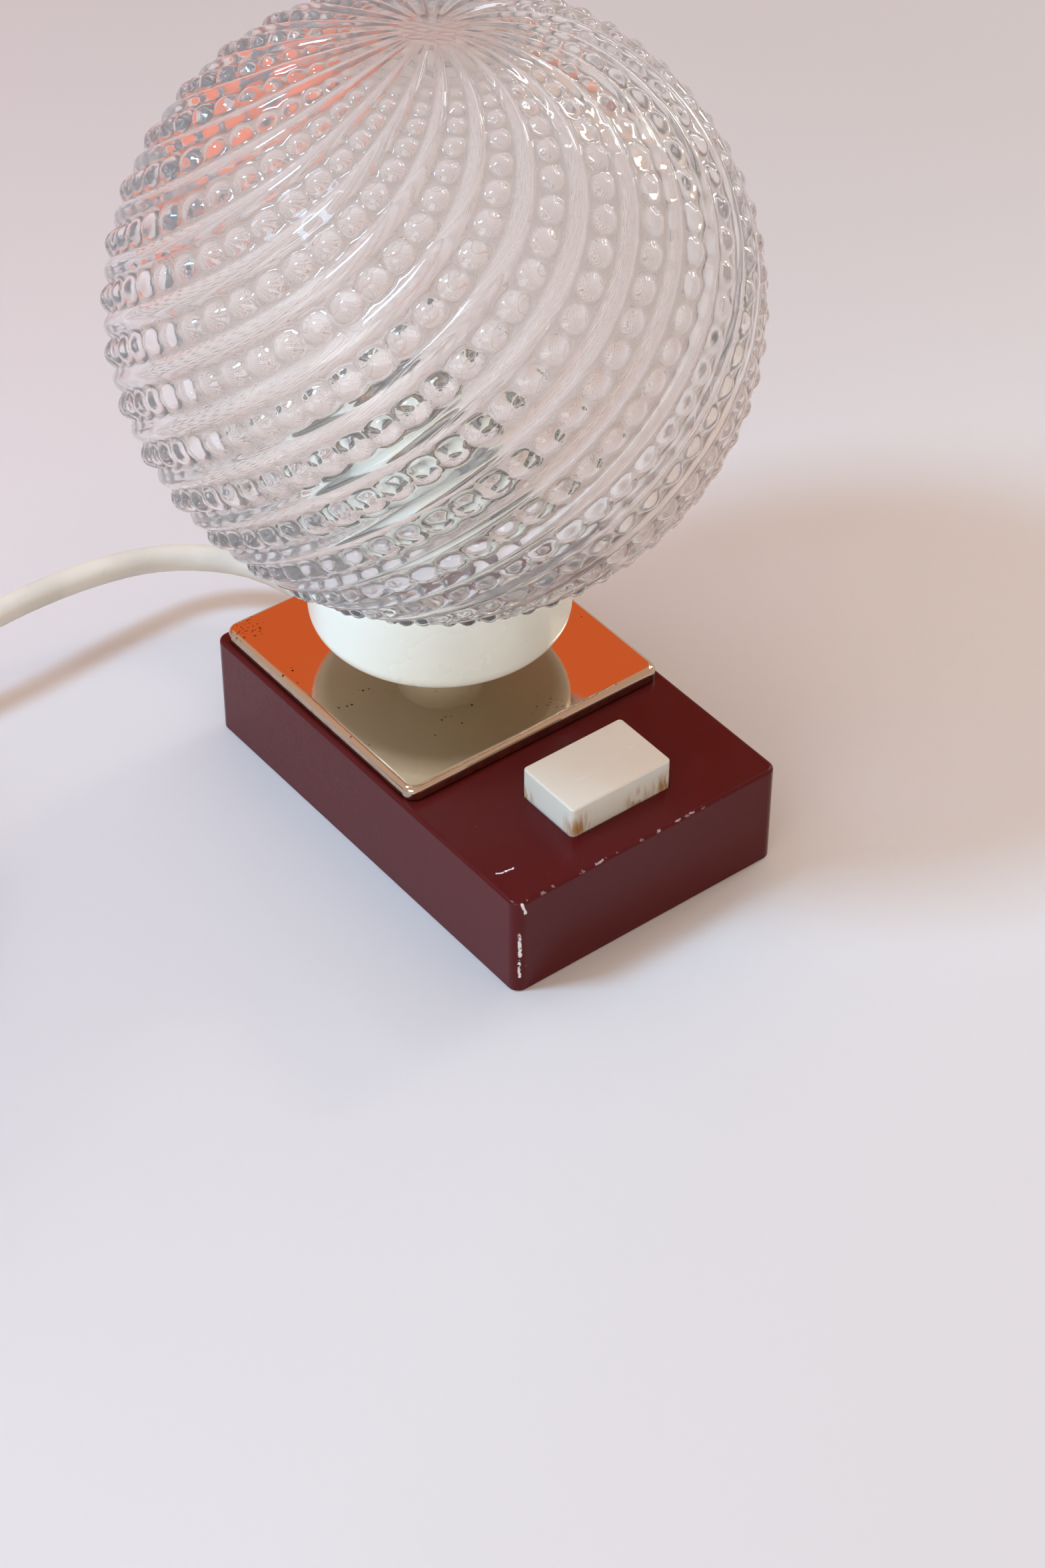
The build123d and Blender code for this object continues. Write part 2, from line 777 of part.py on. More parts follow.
with BuildPart() as bulb_tip:
    with Locations(lamp_level(bulb_tip_bottom)):
        Cylinder(bulb_tip_radius, bulb_tip_height, align=upward)
    fillet(bulb_tip.edges().sort_by(Axis.Z)[0], bulb_tip_height / 2)
bulb_tip.part.label = "bulb_tip"

with BuildPart() as bulb_glass:
    with BuildSketch(lamp_section):
        with BuildLine():
            Line((bulb_neck_radius, bulb_neck_bottom), (bulb_neck_radius, bulb_shoulder))
            Spline(
                (bulb_neck_radius, bulb_shoulder),
                (bulb_radius, bulb_belly),
                tangents=[(0, 1), (0, 1)],
            )
            Line((bulb_radius, bulb_belly), (bulb_radius, bulb_dome))
            CenterArc((0, bulb_dome), bulb_radius, 0, 90)
            Line((0, bulb_dome + bulb_radius), (0, bulb_neck_bottom))
            Line((0, bulb_neck_bottom), (bulb_neck_radius, bulb_neck_bottom))
        make_face()
    revolve(axis=lamp_axis)
    offset(amount=-bulb_glass_wall, openings=bulb_glass.faces().sort_by(Axis.Z)[0])
bulb_glass.part.label = "bulb_glass"

with BuildPart() as bulb_stem:
    with Locations(lamp_level(bulb_neck_bottom)):
        Cylinder(bulb_neck_radius - bulb_glass_wall - thread_clearance, bulb_glass_wall, align=upward)
        Cylinder(bulb_stem_radius, bulb_stem_length, align=upward)
    fillet(bulb_stem.edges().sort_by(Axis.Z)[-1], bulb_stem_radius / 2)
bulb_stem.part.label = "bulb_stem"

# Filament and its lead wires, standing on the stem
stem_head = bulb_neck_bottom + bulb_stem_length
filament_level = stem_head + bulb_radius
filament_lead = bulb_stem_radius / 4
with BuildPart() as bulb_filament:
    with BuildLine(lamp_section):
        FilletPolyline(
            (-filament_lead, stem_head),
            (-filament_lead, stem_head + 2 * filament_lead),
            (-lead_spread, stem_head + lead_spread),
            (-lead_spread, filament_level),
            (lead_spread, filament_level),
            (lead_spread, stem_head + lead_spread),
            (filament_lead, stem_head + 2 * filament_lead),
            (filament_lead, stem_head),
            radius=filament_lead,
        )
    with BuildSketch(Plane(origin=(-filament_lead, lamp_y, stem_head))):
        Circle(lead_wire_radius)
    sweep()
    with Locations(Plane(origin=(0, lamp_y, filament_level), z_dir=(1, 0, 0))):
        Cylinder(filament_radius, lead_spread)
bulb_filament.part.label = "bulb_filament"

# Gland: a rubber bush gripped by the rear wall, tapering along the cord
with BuildPart() as cord_gland:
    with BuildSketch(Plane.YZ):
        with BuildLine():
            Polyline(
                (gland_inner_end, cord_rise + cord_radius + thread_clearance),
                (gland_inner_end, cord_rise + gland_neck_radius),
                (rear_wall_inside - gland_flange, cord_rise + gland_neck_radius),
                (rear_wall_inside - gland_flange, cord_rise + gland_flange_radius),
                (rear_wall_inside, cord_rise + gland_flange_radius),
                (rear_wall_inside, cord_rise + gland_neck_radius),
                (rear_face, cord_rise + gland_neck_radius),
                (rear_face, cord_rise + gland_shoulder_radius),
                (rear_face + gland_flange, cord_rise + gland_shoulder_radius),
                (rear_face + gland_outside, cord_rise + cord_radius + gland_tip_wall),
                (rear_face + gland_outside, cord_rise + cord_radius + thread_clearance),
                close=True,
            )
        make_face()
    revolve(axis=Axis((0, 0, cord_rise), (0, 1, 0)))
cord_gland.part.label = "cord_gland"

# Sheathed end of the cord inside the base, held by the clamp
with BuildPart() as cord_tail:
    with BuildSketch(Plane(origin=cord_route[0], z_dir=(0, -1, 0))):
        Circle(cord_radius)
    extrude(amount=cord_route[0][1] - tail_end)
cord_tail.part.label = "cord_tail"

with BuildPart() as cord_clamp:
    with BuildSketch(Plane.XY.offset(clamp_bar_top)):
        with Locations((0, clamp_y)):
            SlotCenterToCenter(2 * clamp_post_x, clamp_width)
    extrude(amount=-clamp_bar_thickness)
    with Locations(*[(x, y, clamp_bar_top) for x, y in clamp_spots]):
        Hole(screw_radius + screw_clearance)
cord_clamp.part.label = "cord_clamp"

with BuildPart() as clamp_screws:
    with Locations(*[(x, y, clamp_bar_top - clamp_bar_thickness) for x, y in clamp_spots]):
        Cylinder(screw_head_radius, screw_head_height, align=downward)
        Cylinder(screw_radius, clamp_screw_length, align=upward)
clamp_screws.part.label = "clamp_screws"

# Wires inside the base: cord to switch, switch to lampholder, cord to lampholder
wire_x = wire_spacing / 2
contact_face = button_y + switch_depth / 2
contact_level = switch_top - contact_screw_drop
wire_turn = wire_radius * 4
wire_routes = {
    "live_wire": [
        (-wire_x, tail_end, cord_rise),
        (-wire_x, tail_end - wire_turn, cord_rise),
        (-live_wire_x, tail_end - wire_turn - live_wire_x, cord_rise),
        (-live_wire_x, contact_face + live_wire_x, cord_rise),
        (-contact_x, contact_face + wire_turn, contact_level),
        (-contact_x, contact_face, contact_level),
    ],
    "neutral_wire": [
        (wire_x, tail_end, cord_rise),
        (wire_x, lamp_y, cord_rise),
        (wire_x, lamp_y, insert_bottom),
    ],
    "switched_wire": [
        (contact_x, contact_face, contact_level),
        (contact_x, contact_face + 2 * live_wire_x, contact_level),
        (-wire_x, lamp_y - live_wire_x, cord_rise),
        (-wire_x, lamp_y, cord_rise),
        (-wire_x, lamp_y, insert_bottom),
    ],
}


def wire_along(route):
    """A round wire along a route of straight runs with rounded corners."""
    start = Vector(*route[0])
    with BuildPart() as wire:
        with BuildLine():
            FilletPolyline(*route, radius=wire_turn / 2)
        with BuildSketch(Plane(origin=start, z_dir=Vector(*route[1]) - start)):
            Circle(wire_radius)
        sweep()
    return wire


wires = []
for wire_name, wire_route in wire_routes.items():
    wire = wire_along(wire_route)
    wire.part.label = wire_name
    wires.append(wire)

# Coil: in along the floor, up a layer, and out again on top
coil_pitch = cord_diameter + coil_gap
coil_low = tie_thickness + tie_gap + cord_radius
coil_turns = coil_turns_in + coil_climb_turns + coil_turns_out
coil_turning = coil_turns_in + coil_climb_turns / 2
coil_inner_radius = coil_outer_radius - coil_turning * coil_pitch


def coil_place(turn):
    """The coil's centreline after so many turns from its start at the back."""
    radius = coil_inner_radius + coil_pitch * abs(turn - coil_turning)
    climbed = min(max(turn - coil_turns_in, 0), coil_climb_turns) / coil_climb_turns
    angle = pi / 2 + 2 * pi * turn
    return Vector(
        coil_x + radius * cos(angle),
        coil_y + radius * sin(angle),
        coil_low + coil_pitch * (1 - cos(pi * climbed)) / 2,
    )


def coil_heading(turn):
    """The way the coil runs at that turn."""
    step = 1 / (coil_steps_per_turn * 8)
    return (coil_place(turn + step) - coil_place(turn - step)).normalized()


coil_steps = round(coil_turns * coil_steps_per_turn)
coil_points = [coil_place(step / coil_steps_per_turn) for step in range(coil_steps + 1)]
coil_headings = [coil_heading(step / coil_steps_per_turn) for step in range(coil_steps + 1)]
coil_headings[0] = Vector(-1, 0, 0)
coil_headings[-1] = Vector(0, -1, 0)
coil_start = coil_points[0] - coil_headings[0] * cord_diameter
coil_end = coil_points[-1] + coil_headings[-1] * coil_end_run
with BuildPart() as cord_coil:
    with BuildLine() as coil_line:
        Line(coil_start, coil_points[0])
        wound_line(coil_points, coil_headings)
        Line(coil_points[-1], coil_end)
    with BuildSketch(Plane(origin=coil_start, z_dir=coil_headings[0])):
        Circle(cord_radius)
    sweep()
cord_coil.part.label = "cord_coil"

# Free cord from the gland to the coil
coil_corner = coil_start - coil_headings[0] * coil_approach
stretch_route = cord_route + [tuple(coil_corner), tuple(coil_start)]
with BuildPart() as cord_stretch:
    with BuildLine() as stretch_line:
        FilletPolyline(*stretch_route, radius=bend_radii(stretch_route))
    with BuildSketch(Plane(origin=cord_route[0], z_dir=(0, 1, 0))):
        Circle(cord_radius)
    sweep()
cord_stretch.part.label = "cord_stretch"

# Tie round the coil's bundle, on the side towards the lamp
tie_outer_radius = coil_outer_radius - tie_turn * coil_pitch
tie_inner_radius = tie_outer_radius - (coil_turns_in - 1) * coil_pitch
tie_inside_width = tie_outer_radius - tie_inner_radius + cord_diameter + 2 * tie_gap
tie_inside_height = coil_pitch + cord_diameter + 2 * tie_gap
tie_middle = (
    coil_x + (tie_outer_radius + tie_inner_radius) / 2,
    coil_y,
    tie_thickness + tie_inside_height / 2,
)
with BuildPart() as coil_tie:
    with BuildSketch(Plane(origin=tie_middle, x_dir=(1, 0, 0), z_dir=(0, -1, 0))):
        RectangleRounded(
            tie_inside_width + 2 * tie_thickness,
            tie_inside_height + 2 * tie_thickness,
            cord_radius,
        )
        RectangleRounded(
            tie_inside_width,
            tie_inside_height,
            cord_radius - tie_thickness,
            mode=Mode.SUBTRACT,
        )
    extrude(amount=tie_width / 2, both=True)
coil_tie.part.label = "coil_tie"

# Plug at the end of the coil, lying on the floor with its pins level
plug_level = coil_end.Z
plug_relief_end = coil_end.Y - plug_relief_length
plug_face = plug_relief_end - plug_length
plug_front = Plane(origin=(coil_end.X, plug_face, plug_level), x_dir=(1, 0, 0), z_dir=(0, -1, 0))
pin_spots = [(-pin_spacing / 2, 0), (pin_spacing / 2, 0)]
with BuildPart() as plug_relief:
    with BuildSketch(Plane(origin=coil_end, z_dir=(0, -1, 0))):
        Circle(cord_radius + plug_relief_tip_wall)
    with BuildSketch(Plane(origin=(coil_end.X, plug_relief_end, plug_level), z_dir=(0, -1, 0))):
        Circle(cord_radius + plug_relief_wall)
    loft()
plug_relief.part.label = "plug_relief"

with BuildPart() as plug_body:
    with BuildSketch(plug_front):
        RectangleRounded(plug_width, 2 * plug_level, plug_corner_radius)
    extrude(amount=-plug_length)
    fillet(plug_body.faces().group_by(Axis.Y)[0].edges(), plug_edge_radius)
    fillet(plug_body.faces().group_by(Axis.Y)[-1].edges(), plug_edge_radius)
    with BuildSketch(plug_front):
        with Locations(*pin_spots):
            Circle(pin_root_radius + thread_clearance)
    extrude(amount=-pin_socket, mode=Mode.SUBTRACT)
plug_body.part.label = "plug_body"

with BuildPart() as plug_pins:
    with BuildSketch(plug_front):
        with Locations(*pin_spots):
            Circle(pin_radius)
    extrude(amount=pin_length)
    with BuildSketch(plug_front):
        with Locations(*pin_spots):
            Circle(pin_root_radius)
    extrude(amount=-pin_socket)
    fillet(plug_pins.faces().group_by(Axis.Y)[0].edges(), pin_tip_radius)
plug_pins.part.label = "plug_pins"

pieces = [
    base_housing, bottom_cover, cover_screws, foot_pads, mirror_plate, neck_collar, shade_cup,
    seat_ring, glass_globe, button_cap, switch_plunger, switch_bridge, switch_body,
    switch_contacts, contact_screws, switch_screws, switch_spring, stem_tube, lower_washer,
    lower_nut, upper_washer, upper_nut, holder_body, holder_insert, holder_shell, holder_tongue,
    holder_screws, bulb_cap, bulb_insulator, bulb_tip, bulb_glass, bulb_stem, bulb_filament,
    cord_gland, cord_tail, cord_clamp, clamp_screws, *wires, cord_stretch, cord_coil, coil_tie,
    plug_relief, plug_body, plug_pins,
]
os.makedirs("parts", exist_ok=True)
for piece in pieces:
    export_step(piece.part, f"parts/{piece.part.label}.step")


def least_gap(line, samples_per_turn, turns, thickness):
    """The least clear distance between stretches of a winding more than half a turn apart."""
    count = round(samples_per_turn * turns)
    places = [line @ (index / count) for index in range(count + 1)]
    apart = samples_per_turn // 2
    return min(
        (there - here).length - thickness
        for index, here in enumerate(places)
        for there in places[index + apart :]
    )


# Facts about the cord and the windings
cord_section = pi * cord_radius**2
print("cord radii", [round(radius, 1) for radius in bend_radii(stretch_route)])
for title, line, solid in (
    ("stretch", stretch_line.wire(), cord_stretch.part),
    ("coil", coil_line.wire(), cord_coil.part),
):
    full_volume = cord_section * line.length
    print(title, "length", round(line.length, 1), "volume share", round(solid.volume / full_volume, 4))
print("coil least gap", round(least_gap(coil_line.wire(), 48, coil_turns, cord_diameter), 2))
print("spring least gap", round(least_gap(spring_line.wire(), 48, spring_turns, spring_wire), 2))
print("globe middle", round(globe_middle, 2), "lamp y", round(lamp_y, 2))
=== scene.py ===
"""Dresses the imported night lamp: glass globe, cord, finishes, stage and camera."""

from math import atan2, cos, degrees, pi, radians, sin

import bpy
import numpy as np
from bpy.props import FloatProperty, FloatVectorProperty, IntProperty, PointerProperty
from mathutils import Matrix, Vector


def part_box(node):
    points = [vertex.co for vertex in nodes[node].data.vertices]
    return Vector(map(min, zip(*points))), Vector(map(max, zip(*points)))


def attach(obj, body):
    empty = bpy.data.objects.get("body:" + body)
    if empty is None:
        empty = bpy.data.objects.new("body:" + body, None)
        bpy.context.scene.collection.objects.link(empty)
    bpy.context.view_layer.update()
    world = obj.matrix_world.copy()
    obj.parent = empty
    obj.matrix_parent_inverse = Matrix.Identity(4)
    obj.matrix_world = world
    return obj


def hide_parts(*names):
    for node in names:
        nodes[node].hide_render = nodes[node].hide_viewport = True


bl_info = {
    "name": "Night lamp dresser",
    "version": (1, 0, 0),
    "blender": (4, 5, 0),
    "location": "View3D > Sidebar > Night lamp",
    "description": "Glass globe, cord, finishes and stage for the night lamp",
    "category": "Object",
}

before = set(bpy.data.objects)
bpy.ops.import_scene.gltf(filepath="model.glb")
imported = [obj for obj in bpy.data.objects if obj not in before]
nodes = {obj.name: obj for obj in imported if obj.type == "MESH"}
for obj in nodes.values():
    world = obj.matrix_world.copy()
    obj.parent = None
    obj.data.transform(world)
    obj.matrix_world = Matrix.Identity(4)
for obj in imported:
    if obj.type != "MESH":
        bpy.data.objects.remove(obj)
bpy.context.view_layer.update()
globe_low, globe_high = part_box("glass_globe")
cup_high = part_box("shade_cup")[1]
base_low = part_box("base_housing")[0]
plate_low, plate_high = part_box("mirror_plate")
button_low, button_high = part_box("button_cap")
lamp_y = (globe_low.y + globe_high.y) / 2

# Height of the base's top and factor from metres, for finishes laid out in millimetres
deck = 25.0
to_mm = 1000.0


# Settings that a user would change
class GlobeSettings(bpy.types.PropertyGroup):
    """Shape and finish of the pressed glass."""

    swirl_count: IntProperty(name="Swirls", description="Rows of nubs round the globe", default=22, min=6)
    swirl_turn: FloatProperty(
        name="Swirl",
        description="How fast the rows wind round below the middle",
        default=1.32,
        subtype="FACTOR",
    )
    nub_height: FloatProperty(
        name="Nub height", description="How far the nubs stand out", default=0.0018, unit="LENGTH"
    )
    rib_height: FloatProperty(
        name="Rib height", description="How far the smooth ribs stand out", default=0.0012, unit="LENGTH"
    )
    wall: FloatProperty(name="Wall", description="Glass under the ribs", default=0.0032, unit="LENGTH")
    tint: FloatVectorProperty(
        name="Tint", description="Colour of the glass", default=(0.935, 0.912, 0.887), size=3, subtype="COLOR"
    )
    # Painted light: lighter glass and grooves near the cup, where the white cup and holder shine through
    low_tint_painted_light: FloatVectorProperty(
        name="Low tint",
        description="Colour of the glass near the cup",
        default=(0.99, 0.985, 0.975),
        size=3,
        subtype="COLOR",
    )
    # Painted shade: darker tint for the grooves between nubs and ribs
    groove_painted_shade: FloatVectorProperty(
        name="Groove",
        description="Tint of the grooves",
        default=(0.665, 0.625, 0.585),
        size=3,
        subtype="COLOR",
    )
    low_groove_painted_light: FloatVectorProperty(
        name="Low groove",
        description="Tint of the grooves near the cup",
        default=(0.78, 0.75, 0.715),
        size=3,
        subtype="COLOR",
    )


class CordSettings(bpy.types.PropertyGroup):
    """Size and colour of the cord."""

    diameter: FloatProperty(
        name="Diameter", description="Outside of the sheath", default=0.0062, unit="LENGTH"
    )
    length: FloatProperty(name="Length", description="From gland to plug", default=1.615, unit="LENGTH")
    sheath: FloatVectorProperty(
        name="Sheath", description="Colour of the sheath", default=(0.74, 0.69, 0.59), size=3, subtype="COLOR"
    )


class FinishSettings(bpy.types.PropertyGroup):
    """Colours of the moulded and pressed pieces."""

    maroon: FloatVectorProperty(
        name="Maroon", description="Moulded base", default=(0.077, 0.0045, 0.0055), size=3, subtype="COLOR"
    )
    chip: FloatVectorProperty(
        name="Chips",
        description="Bare chips on the base",
        default=(0.74, 0.73, 0.74),
        size=3,
        subtype="COLOR",
    )
    bright: FloatVectorProperty(
        name="Bright plate",
        description="Polished plate",
        default=(0.60, 0.475, 0.355),
        size=3,
        subtype="COLOR",
    )
    white: FloatVectorProperty(
        name="White", description="Cup and neck", default=(0.80, 0.85, 0.77), size=3, subtype="COLOR"
    )
    ivory: FloatVectorProperty(
        name="Ivory", description="Button top", default=(0.66, 0.60, 0.50), size=3, subtype="COLOR"
    )
    # Painted light: the button's sides are painted lighter and cooler, as the window light falls on them
    ivory_side_painted_light: FloatVectorProperty(
        name="Ivory side", description="Button sides", default=(0.70, 0.75, 0.70), size=3, subtype="COLOR"
    )
    stain: FloatVectorProperty(
        name="Stain", description="Brown stains", default=(0.40, 0.22, 0.07), size=3, subtype="COLOR"
    )


class StageSettings(bpy.types.PropertyGroup):
    """Camera, floor and light."""

    azimuth: FloatProperty(
        name="Azimuth", description="Camera turn from the front", default=radians(-38.01), subtype="ANGLE"
    )
    elevation: FloatProperty(
        name="Elevation", description="Camera height angle", default=radians(41.965), subtype="ANGLE"
    )
    roll: FloatProperty(name="Roll", description="Camera roll", default=radians(0.309), subtype="ANGLE")
    place: FloatVectorProperty(
        name="Place",
        description="Camera position",
        default=(-0.34859, -0.45731, 0.51771),
        size=3,
        subtype="TRANSLATION",
    )
    lens: FloatProperty(name="Lens", description="Focal length in millimetres", default=80.15)
    floor: FloatVectorProperty(
        name="Floor", description="Colour of the floor", default=(0.67, 0.665, 0.655), size=3, subtype="COLOR"
    )
    backdrop: FloatVectorProperty(
        name="Backdrop",
        description="Colour far behind the lamp",
        default=(0.66, 0.60, 0.60),
        size=3,
        subtype="COLOR",
    )
    key: FloatProperty(name="Key light", description="Power of the window light", default=13.0, unit="POWER")
    fill: FloatProperty(name="Fill light", description="Power of the front light", default=4.5, unit="POWER")
    spark: FloatProperty(
        name="Spark light", description="Power of the small lights", default=1.8, unit="POWER"
    )
    card: FloatVectorProperty(
        name="Card",
        description="Colour of the warm reflector",
        default=(0.92, 0.19, 0.058),
        size=3,
        subtype="COLOR",
    )


# Small helpers for operators
def settings():
    """The settings of the scene."""
    scene = bpy.context.scene
    return scene.lamp_globe, scene.lamp_cord, scene.lamp_finish, scene.lamp_stage


def clear_selection():
    """Nothing selected and nothing active, before an operator acts."""
    bpy.ops.object.select_all(action="DESELECT")
    bpy.context.view_layer.objects.active = None


def new_finish(name):
    """A material with its node tree and shader."""
    material = bpy.data.materials.new(name)
    material.use_nodes = True
    tree = material.node_tree
    return material, tree, tree.nodes["Principled BSDF"]


def add_node(tree, kind, inputs=None, **options):
    """A node with its options set and its inputs given values or links."""
    node = tree.nodes.new(kind)
    for option, value in options.items():
        setattr(node, option, value)
    for key, value in (inputs or {}).items():
        if isinstance(value, bpy.types.NodeSocket):
            tree.links.new(value, node.inputs[key])
        else:
            node.inputs[key].default_value = value
    return node


def maths(tree, operation, first, second=0.0, third=0.0, clamp=False):
    """A sum of up to three numbers or sockets."""
    return add_node(
        tree, "ShaderNodeMath", {0: first, 1: second, 2: third}, operation=operation, use_clamp=clamp
    ).outputs[0]


def vector_maths(tree, operation, inputs, output="Vector"):
    """A sum of vectors."""
    return add_node(tree, "ShaderNodeVectorMath", inputs, operation=operation).outputs[output]


def between(tree, value, low, high, start=0.0, end=1.0):
    """A value eased from start to end as it goes from low to high."""
    return add_node(
        tree,
        "ShaderNodeMapRange",
        {"Value": value, "From Min": low, "From Max": high, "To Min": start, "To Max": end},
        interpolation_type="SMOOTHSTEP",
    ).outputs[0]


def blend_colour(tree, amount, under, over):
    """One colour over another."""
    return add_node(
        tree, "ShaderNodeMix", {0: amount, 6: under, 7: over}, data_type="RGBA"
    ).outputs[2]


def feed(shader, name, socket):
    """Links a socket to an input of a shader."""
    shader.id_data.links.new(socket, shader.inputs[name])


def show(tree, shader):
    """Makes a shader the surface of its material or world."""
    kind = "World Output" if "World Output" in tree.nodes else "Material Output"
    tree.links.new(shader.outputs[0], tree.nodes[kind].inputs["Surface"])


def mix_shaders(tree, amount, under, over):
    """One shader over another."""
    return add_node(tree, "ShaderNodeMixShader", {0: amount, 1: under.outputs[0], 2: over.outputs[0]})


def shown(tree):
    """One for rays from the camera, off gloss and through glass, which all meet the backdrop."""
    path = add_node(tree, "ShaderNodeLightPath")
    straight = maths(tree, "MAXIMUM", path.outputs["Is Camera Ray"], path.outputs["Is Glossy Ray"])
    return maths(tree, "MAXIMUM", straight, path.outputs["Is Transmission Ray"])


def rgba(colour, gain=1.0):
    """A colour with its alpha, lighter or darker by a gain."""
    return (colour[0] * gain, colour[1] * gain, colour[2] * gain, 1.0)


def places(tree):
    """Object coordinates in millimetres, as a vector and as X, Y and Z."""
    coordinates = add_node(tree, "ShaderNodeTexCoord").outputs["Object"]
    scaled = vector_maths(tree, "SCALE", {0: coordinates, "Scale": to_mm})
    split = add_node(tree, "ShaderNodeSeparateXYZ", {0: scaled})
    return scaled, split.outputs[0], split.outputs[1], split.outputs[2]


def noise(tree, vector, scale, detail=3.0, stretch=None):
    """Noise with lumps of about one over the scale in millimetres."""
    if stretch:
        vector = add_node(tree, "ShaderNodeMapping", {"Vector": vector, "Scale": stretch}).outputs[0]
    return add_node(
        tree, "ShaderNodeTexNoise", {"Vector": vector, "Scale": scale, "Detail": detail}
    ).outputs["Fac"]


def near_point(tree, vector, point, reach):
    """One at a point in millimetres, falling to nothing at its reach."""
    away = vector_maths(tree, "DISTANCE", {0: vector, 1: point}, "Value")
    return between(tree, away, 0.0, reach, 1.0, 0.0)


def stroke(tree, vector, start, end, reach):
    """One along a line between two points in millimetres, falling to nothing at its reach."""
    run = Vector(end) - Vector(start)
    from_start = vector_maths(tree, "SUBTRACT", {0: vector, 1: start})
    share = vector_maths(tree, "DOT_PRODUCT", {0: from_start, 1: run / run.length_squared}, "Value")
    held = maths(tree, "MULTIPLY", share, 1.0, clamp=True)
    along = vector_maths(tree, "SCALE", {0: run, "Scale": held})
    away = vector_maths(tree, "DISTANCE", {0: from_start, 1: along}, "Value")
    return between(tree, away, reach * 0.5, reach, 1.0, 0.0)


def highest(tree, values):
    """The greatest of several values."""
    top = values[0]
    for value in values[1:]:
        top = maths(tree, "MAXIMUM", top, value)
    return top


def bump(tree, shader, height, strength, distance):
    """Fine relief on a shader."""
    relief = add_node(
        tree, "ShaderNodeBump", {"Strength": strength, "Distance": distance, "Height": height}
    )
    feed(shader, "Normal", relief.outputs[0])


def wear(node_names, material):
    """Gives a finish to CAD nodes."""
    for name in node_names:
        piece = nodes[name]
        piece.data.materials.clear()
        piece.data.materials.append(material)


# Camera
class LAMP_OT_camera(bpy.types.Operator):
    """Sets the camera at the photograph's angle"""

    bl_idname = "lamp.camera"
    bl_label = "Camera"

    def execute(self, context):
        _, _, _, stage = settings()
        clear_selection()
        bpy.ops.object.camera_add()
        camera = context.object
        camera.name = "lamp_camera"
        turn, lift, roll = stage.azimuth, stage.elevation, stage.roll
        back = Vector((sin(turn) * cos(lift), -cos(turn) * cos(lift), sin(lift)))
        right = Vector((cos(turn), sin(turn), 0.0))
        up = back.cross(right)
        across = right * cos(roll) + up * sin(roll)
        upright = up * cos(roll) - right * sin(roll)
        facing = Matrix((across, upright, back)).transposed().to_4x4()
        camera.matrix_world = Matrix.Translation(stage.place) @ facing
        camera.data.sensor_fit = "VERTICAL"
        camera.data.sensor_height = 36.0
        camera.data.lens = stage.lens
        camera.data.clip_start = 0.01
        context.scene.camera = camera
        return {"FINISHED"}


# Cord
cord_route = [
    (0.0, 0.0500, 0.0125),
    (0.0, 0.0776, 0.0125),
    (-0.0195, 0.0960, 0.0152),
    (-0.0460, 0.0975, 0.0195),
    (-0.0750, 0.0950, 0.0210),
    (-0.0990, 0.0945, 0.0165),
    (-0.1210, 0.0965, 0.0085),
    (-0.1388, 0.0965, 0.0043),
]
coil_middle = (-0.161, 0.049)
coil_outer = 0.0475
coil_pitch = 0.0069
coil_floor = 0.0043
coil_turning = 3.25
coil_turns = 6.25
coil_points_per_turn = 16
coil_end_run = 0.020


def coil_points():
    """Points of the coil: in along the floor, up a layer, and out again on top."""
    swell = 1 / (0.75 + 0.25 * cos(2 * pi / coil_points_per_turn))
    points = []
    for step in range(round(coil_turns * coil_points_per_turn) + 1):
        turn = step / coil_points_per_turn
        radius = swell * (coil_outer + coil_pitch * (abs(turn - coil_turning) - coil_turning))
        climb = min(max(2 * (turn - coil_turning) + 0.5, 0.0), 1.0)
        angle = pi / 2 + 2 * pi * turn
        points.append(
            (
                coil_middle[0] + radius * cos(angle),
                coil_middle[1] + radius * sin(angle),
                coil_floor + coil_pitch * (1 - cos(pi * climb)) / 2,
            )
        )
    return points


class LAMP_OT_cord(bpy.types.Operator):
    """Lays the cord from the gland to the plug"""

    bl_idname = "lamp.cord"
    bl_label = "Cord"

    def execute(self, context):
        _, cord, _, _ = settings()
        wound = coil_points()
        last = wound[-1]
        route = cord_route + wound + [(last[0], last[1] - coil_end_run, last[2])]
        curve = bpy.data.curves.new("cord", "CURVE")
        curve.dimensions = "3D"
        curve.bevel_depth = cord.diameter / 2
        curve.bevel_resolution = 6
        curve.resolution_u = 6
        curve.use_fill_caps = True
        spline = curve.splines.new("NURBS")
        spline.points.add(len(route) - 1)
        for point, place in zip(spline.points, route):
            point.co = (*place, 1.0)
        spline.order_u = 3
        spline.use_endpoint_u = True
        spline.use_smooth = True
        lead = bpy.data.objects.new("cord", curve)
        context.scene.collection.objects.link(lead)
        lead.data.materials.append(sheath_finish())
        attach(lead, "lamp")
        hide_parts("cord_stretch", "cord_coil")
        wear(["cord_gland", "cord_tail", "plug_relief", "plug_body"], sheath_finish())
        return {"FINISHED"}


def sheath_finish():
    """Ivory flexible sheath with grime."""
    _, cord, _, _ = settings()
    material, tree, shader = new_finish("ivory_sheath")
    vector, _, _, _ = places(tree)
    cloud = noise(tree, vector, 0.05, 4.0)
    dark_patches = between(tree, noise(tree, vector, 0.16, 5.0), 0.60, 0.78)
    aged = blend_colour(tree, between(tree, cloud, 0.35, 0.7), rgba(cord.sheath), rgba(cord.sheath, 0.86))
    dirty = blend_colour(tree, maths(tree, "MULTIPLY", dark_patches, 0.45), aged, (0.30, 0.25, 0.16, 1.0))
    feed(shader, "Base Color", dirty)
    feed(shader, "Roughness", between(tree, cloud, 0.3, 0.7, 0.38, 0.52))
    bump(tree, shader, noise(tree, vector, 1.2, 2.0), 0.12, 0.0002)
    return material


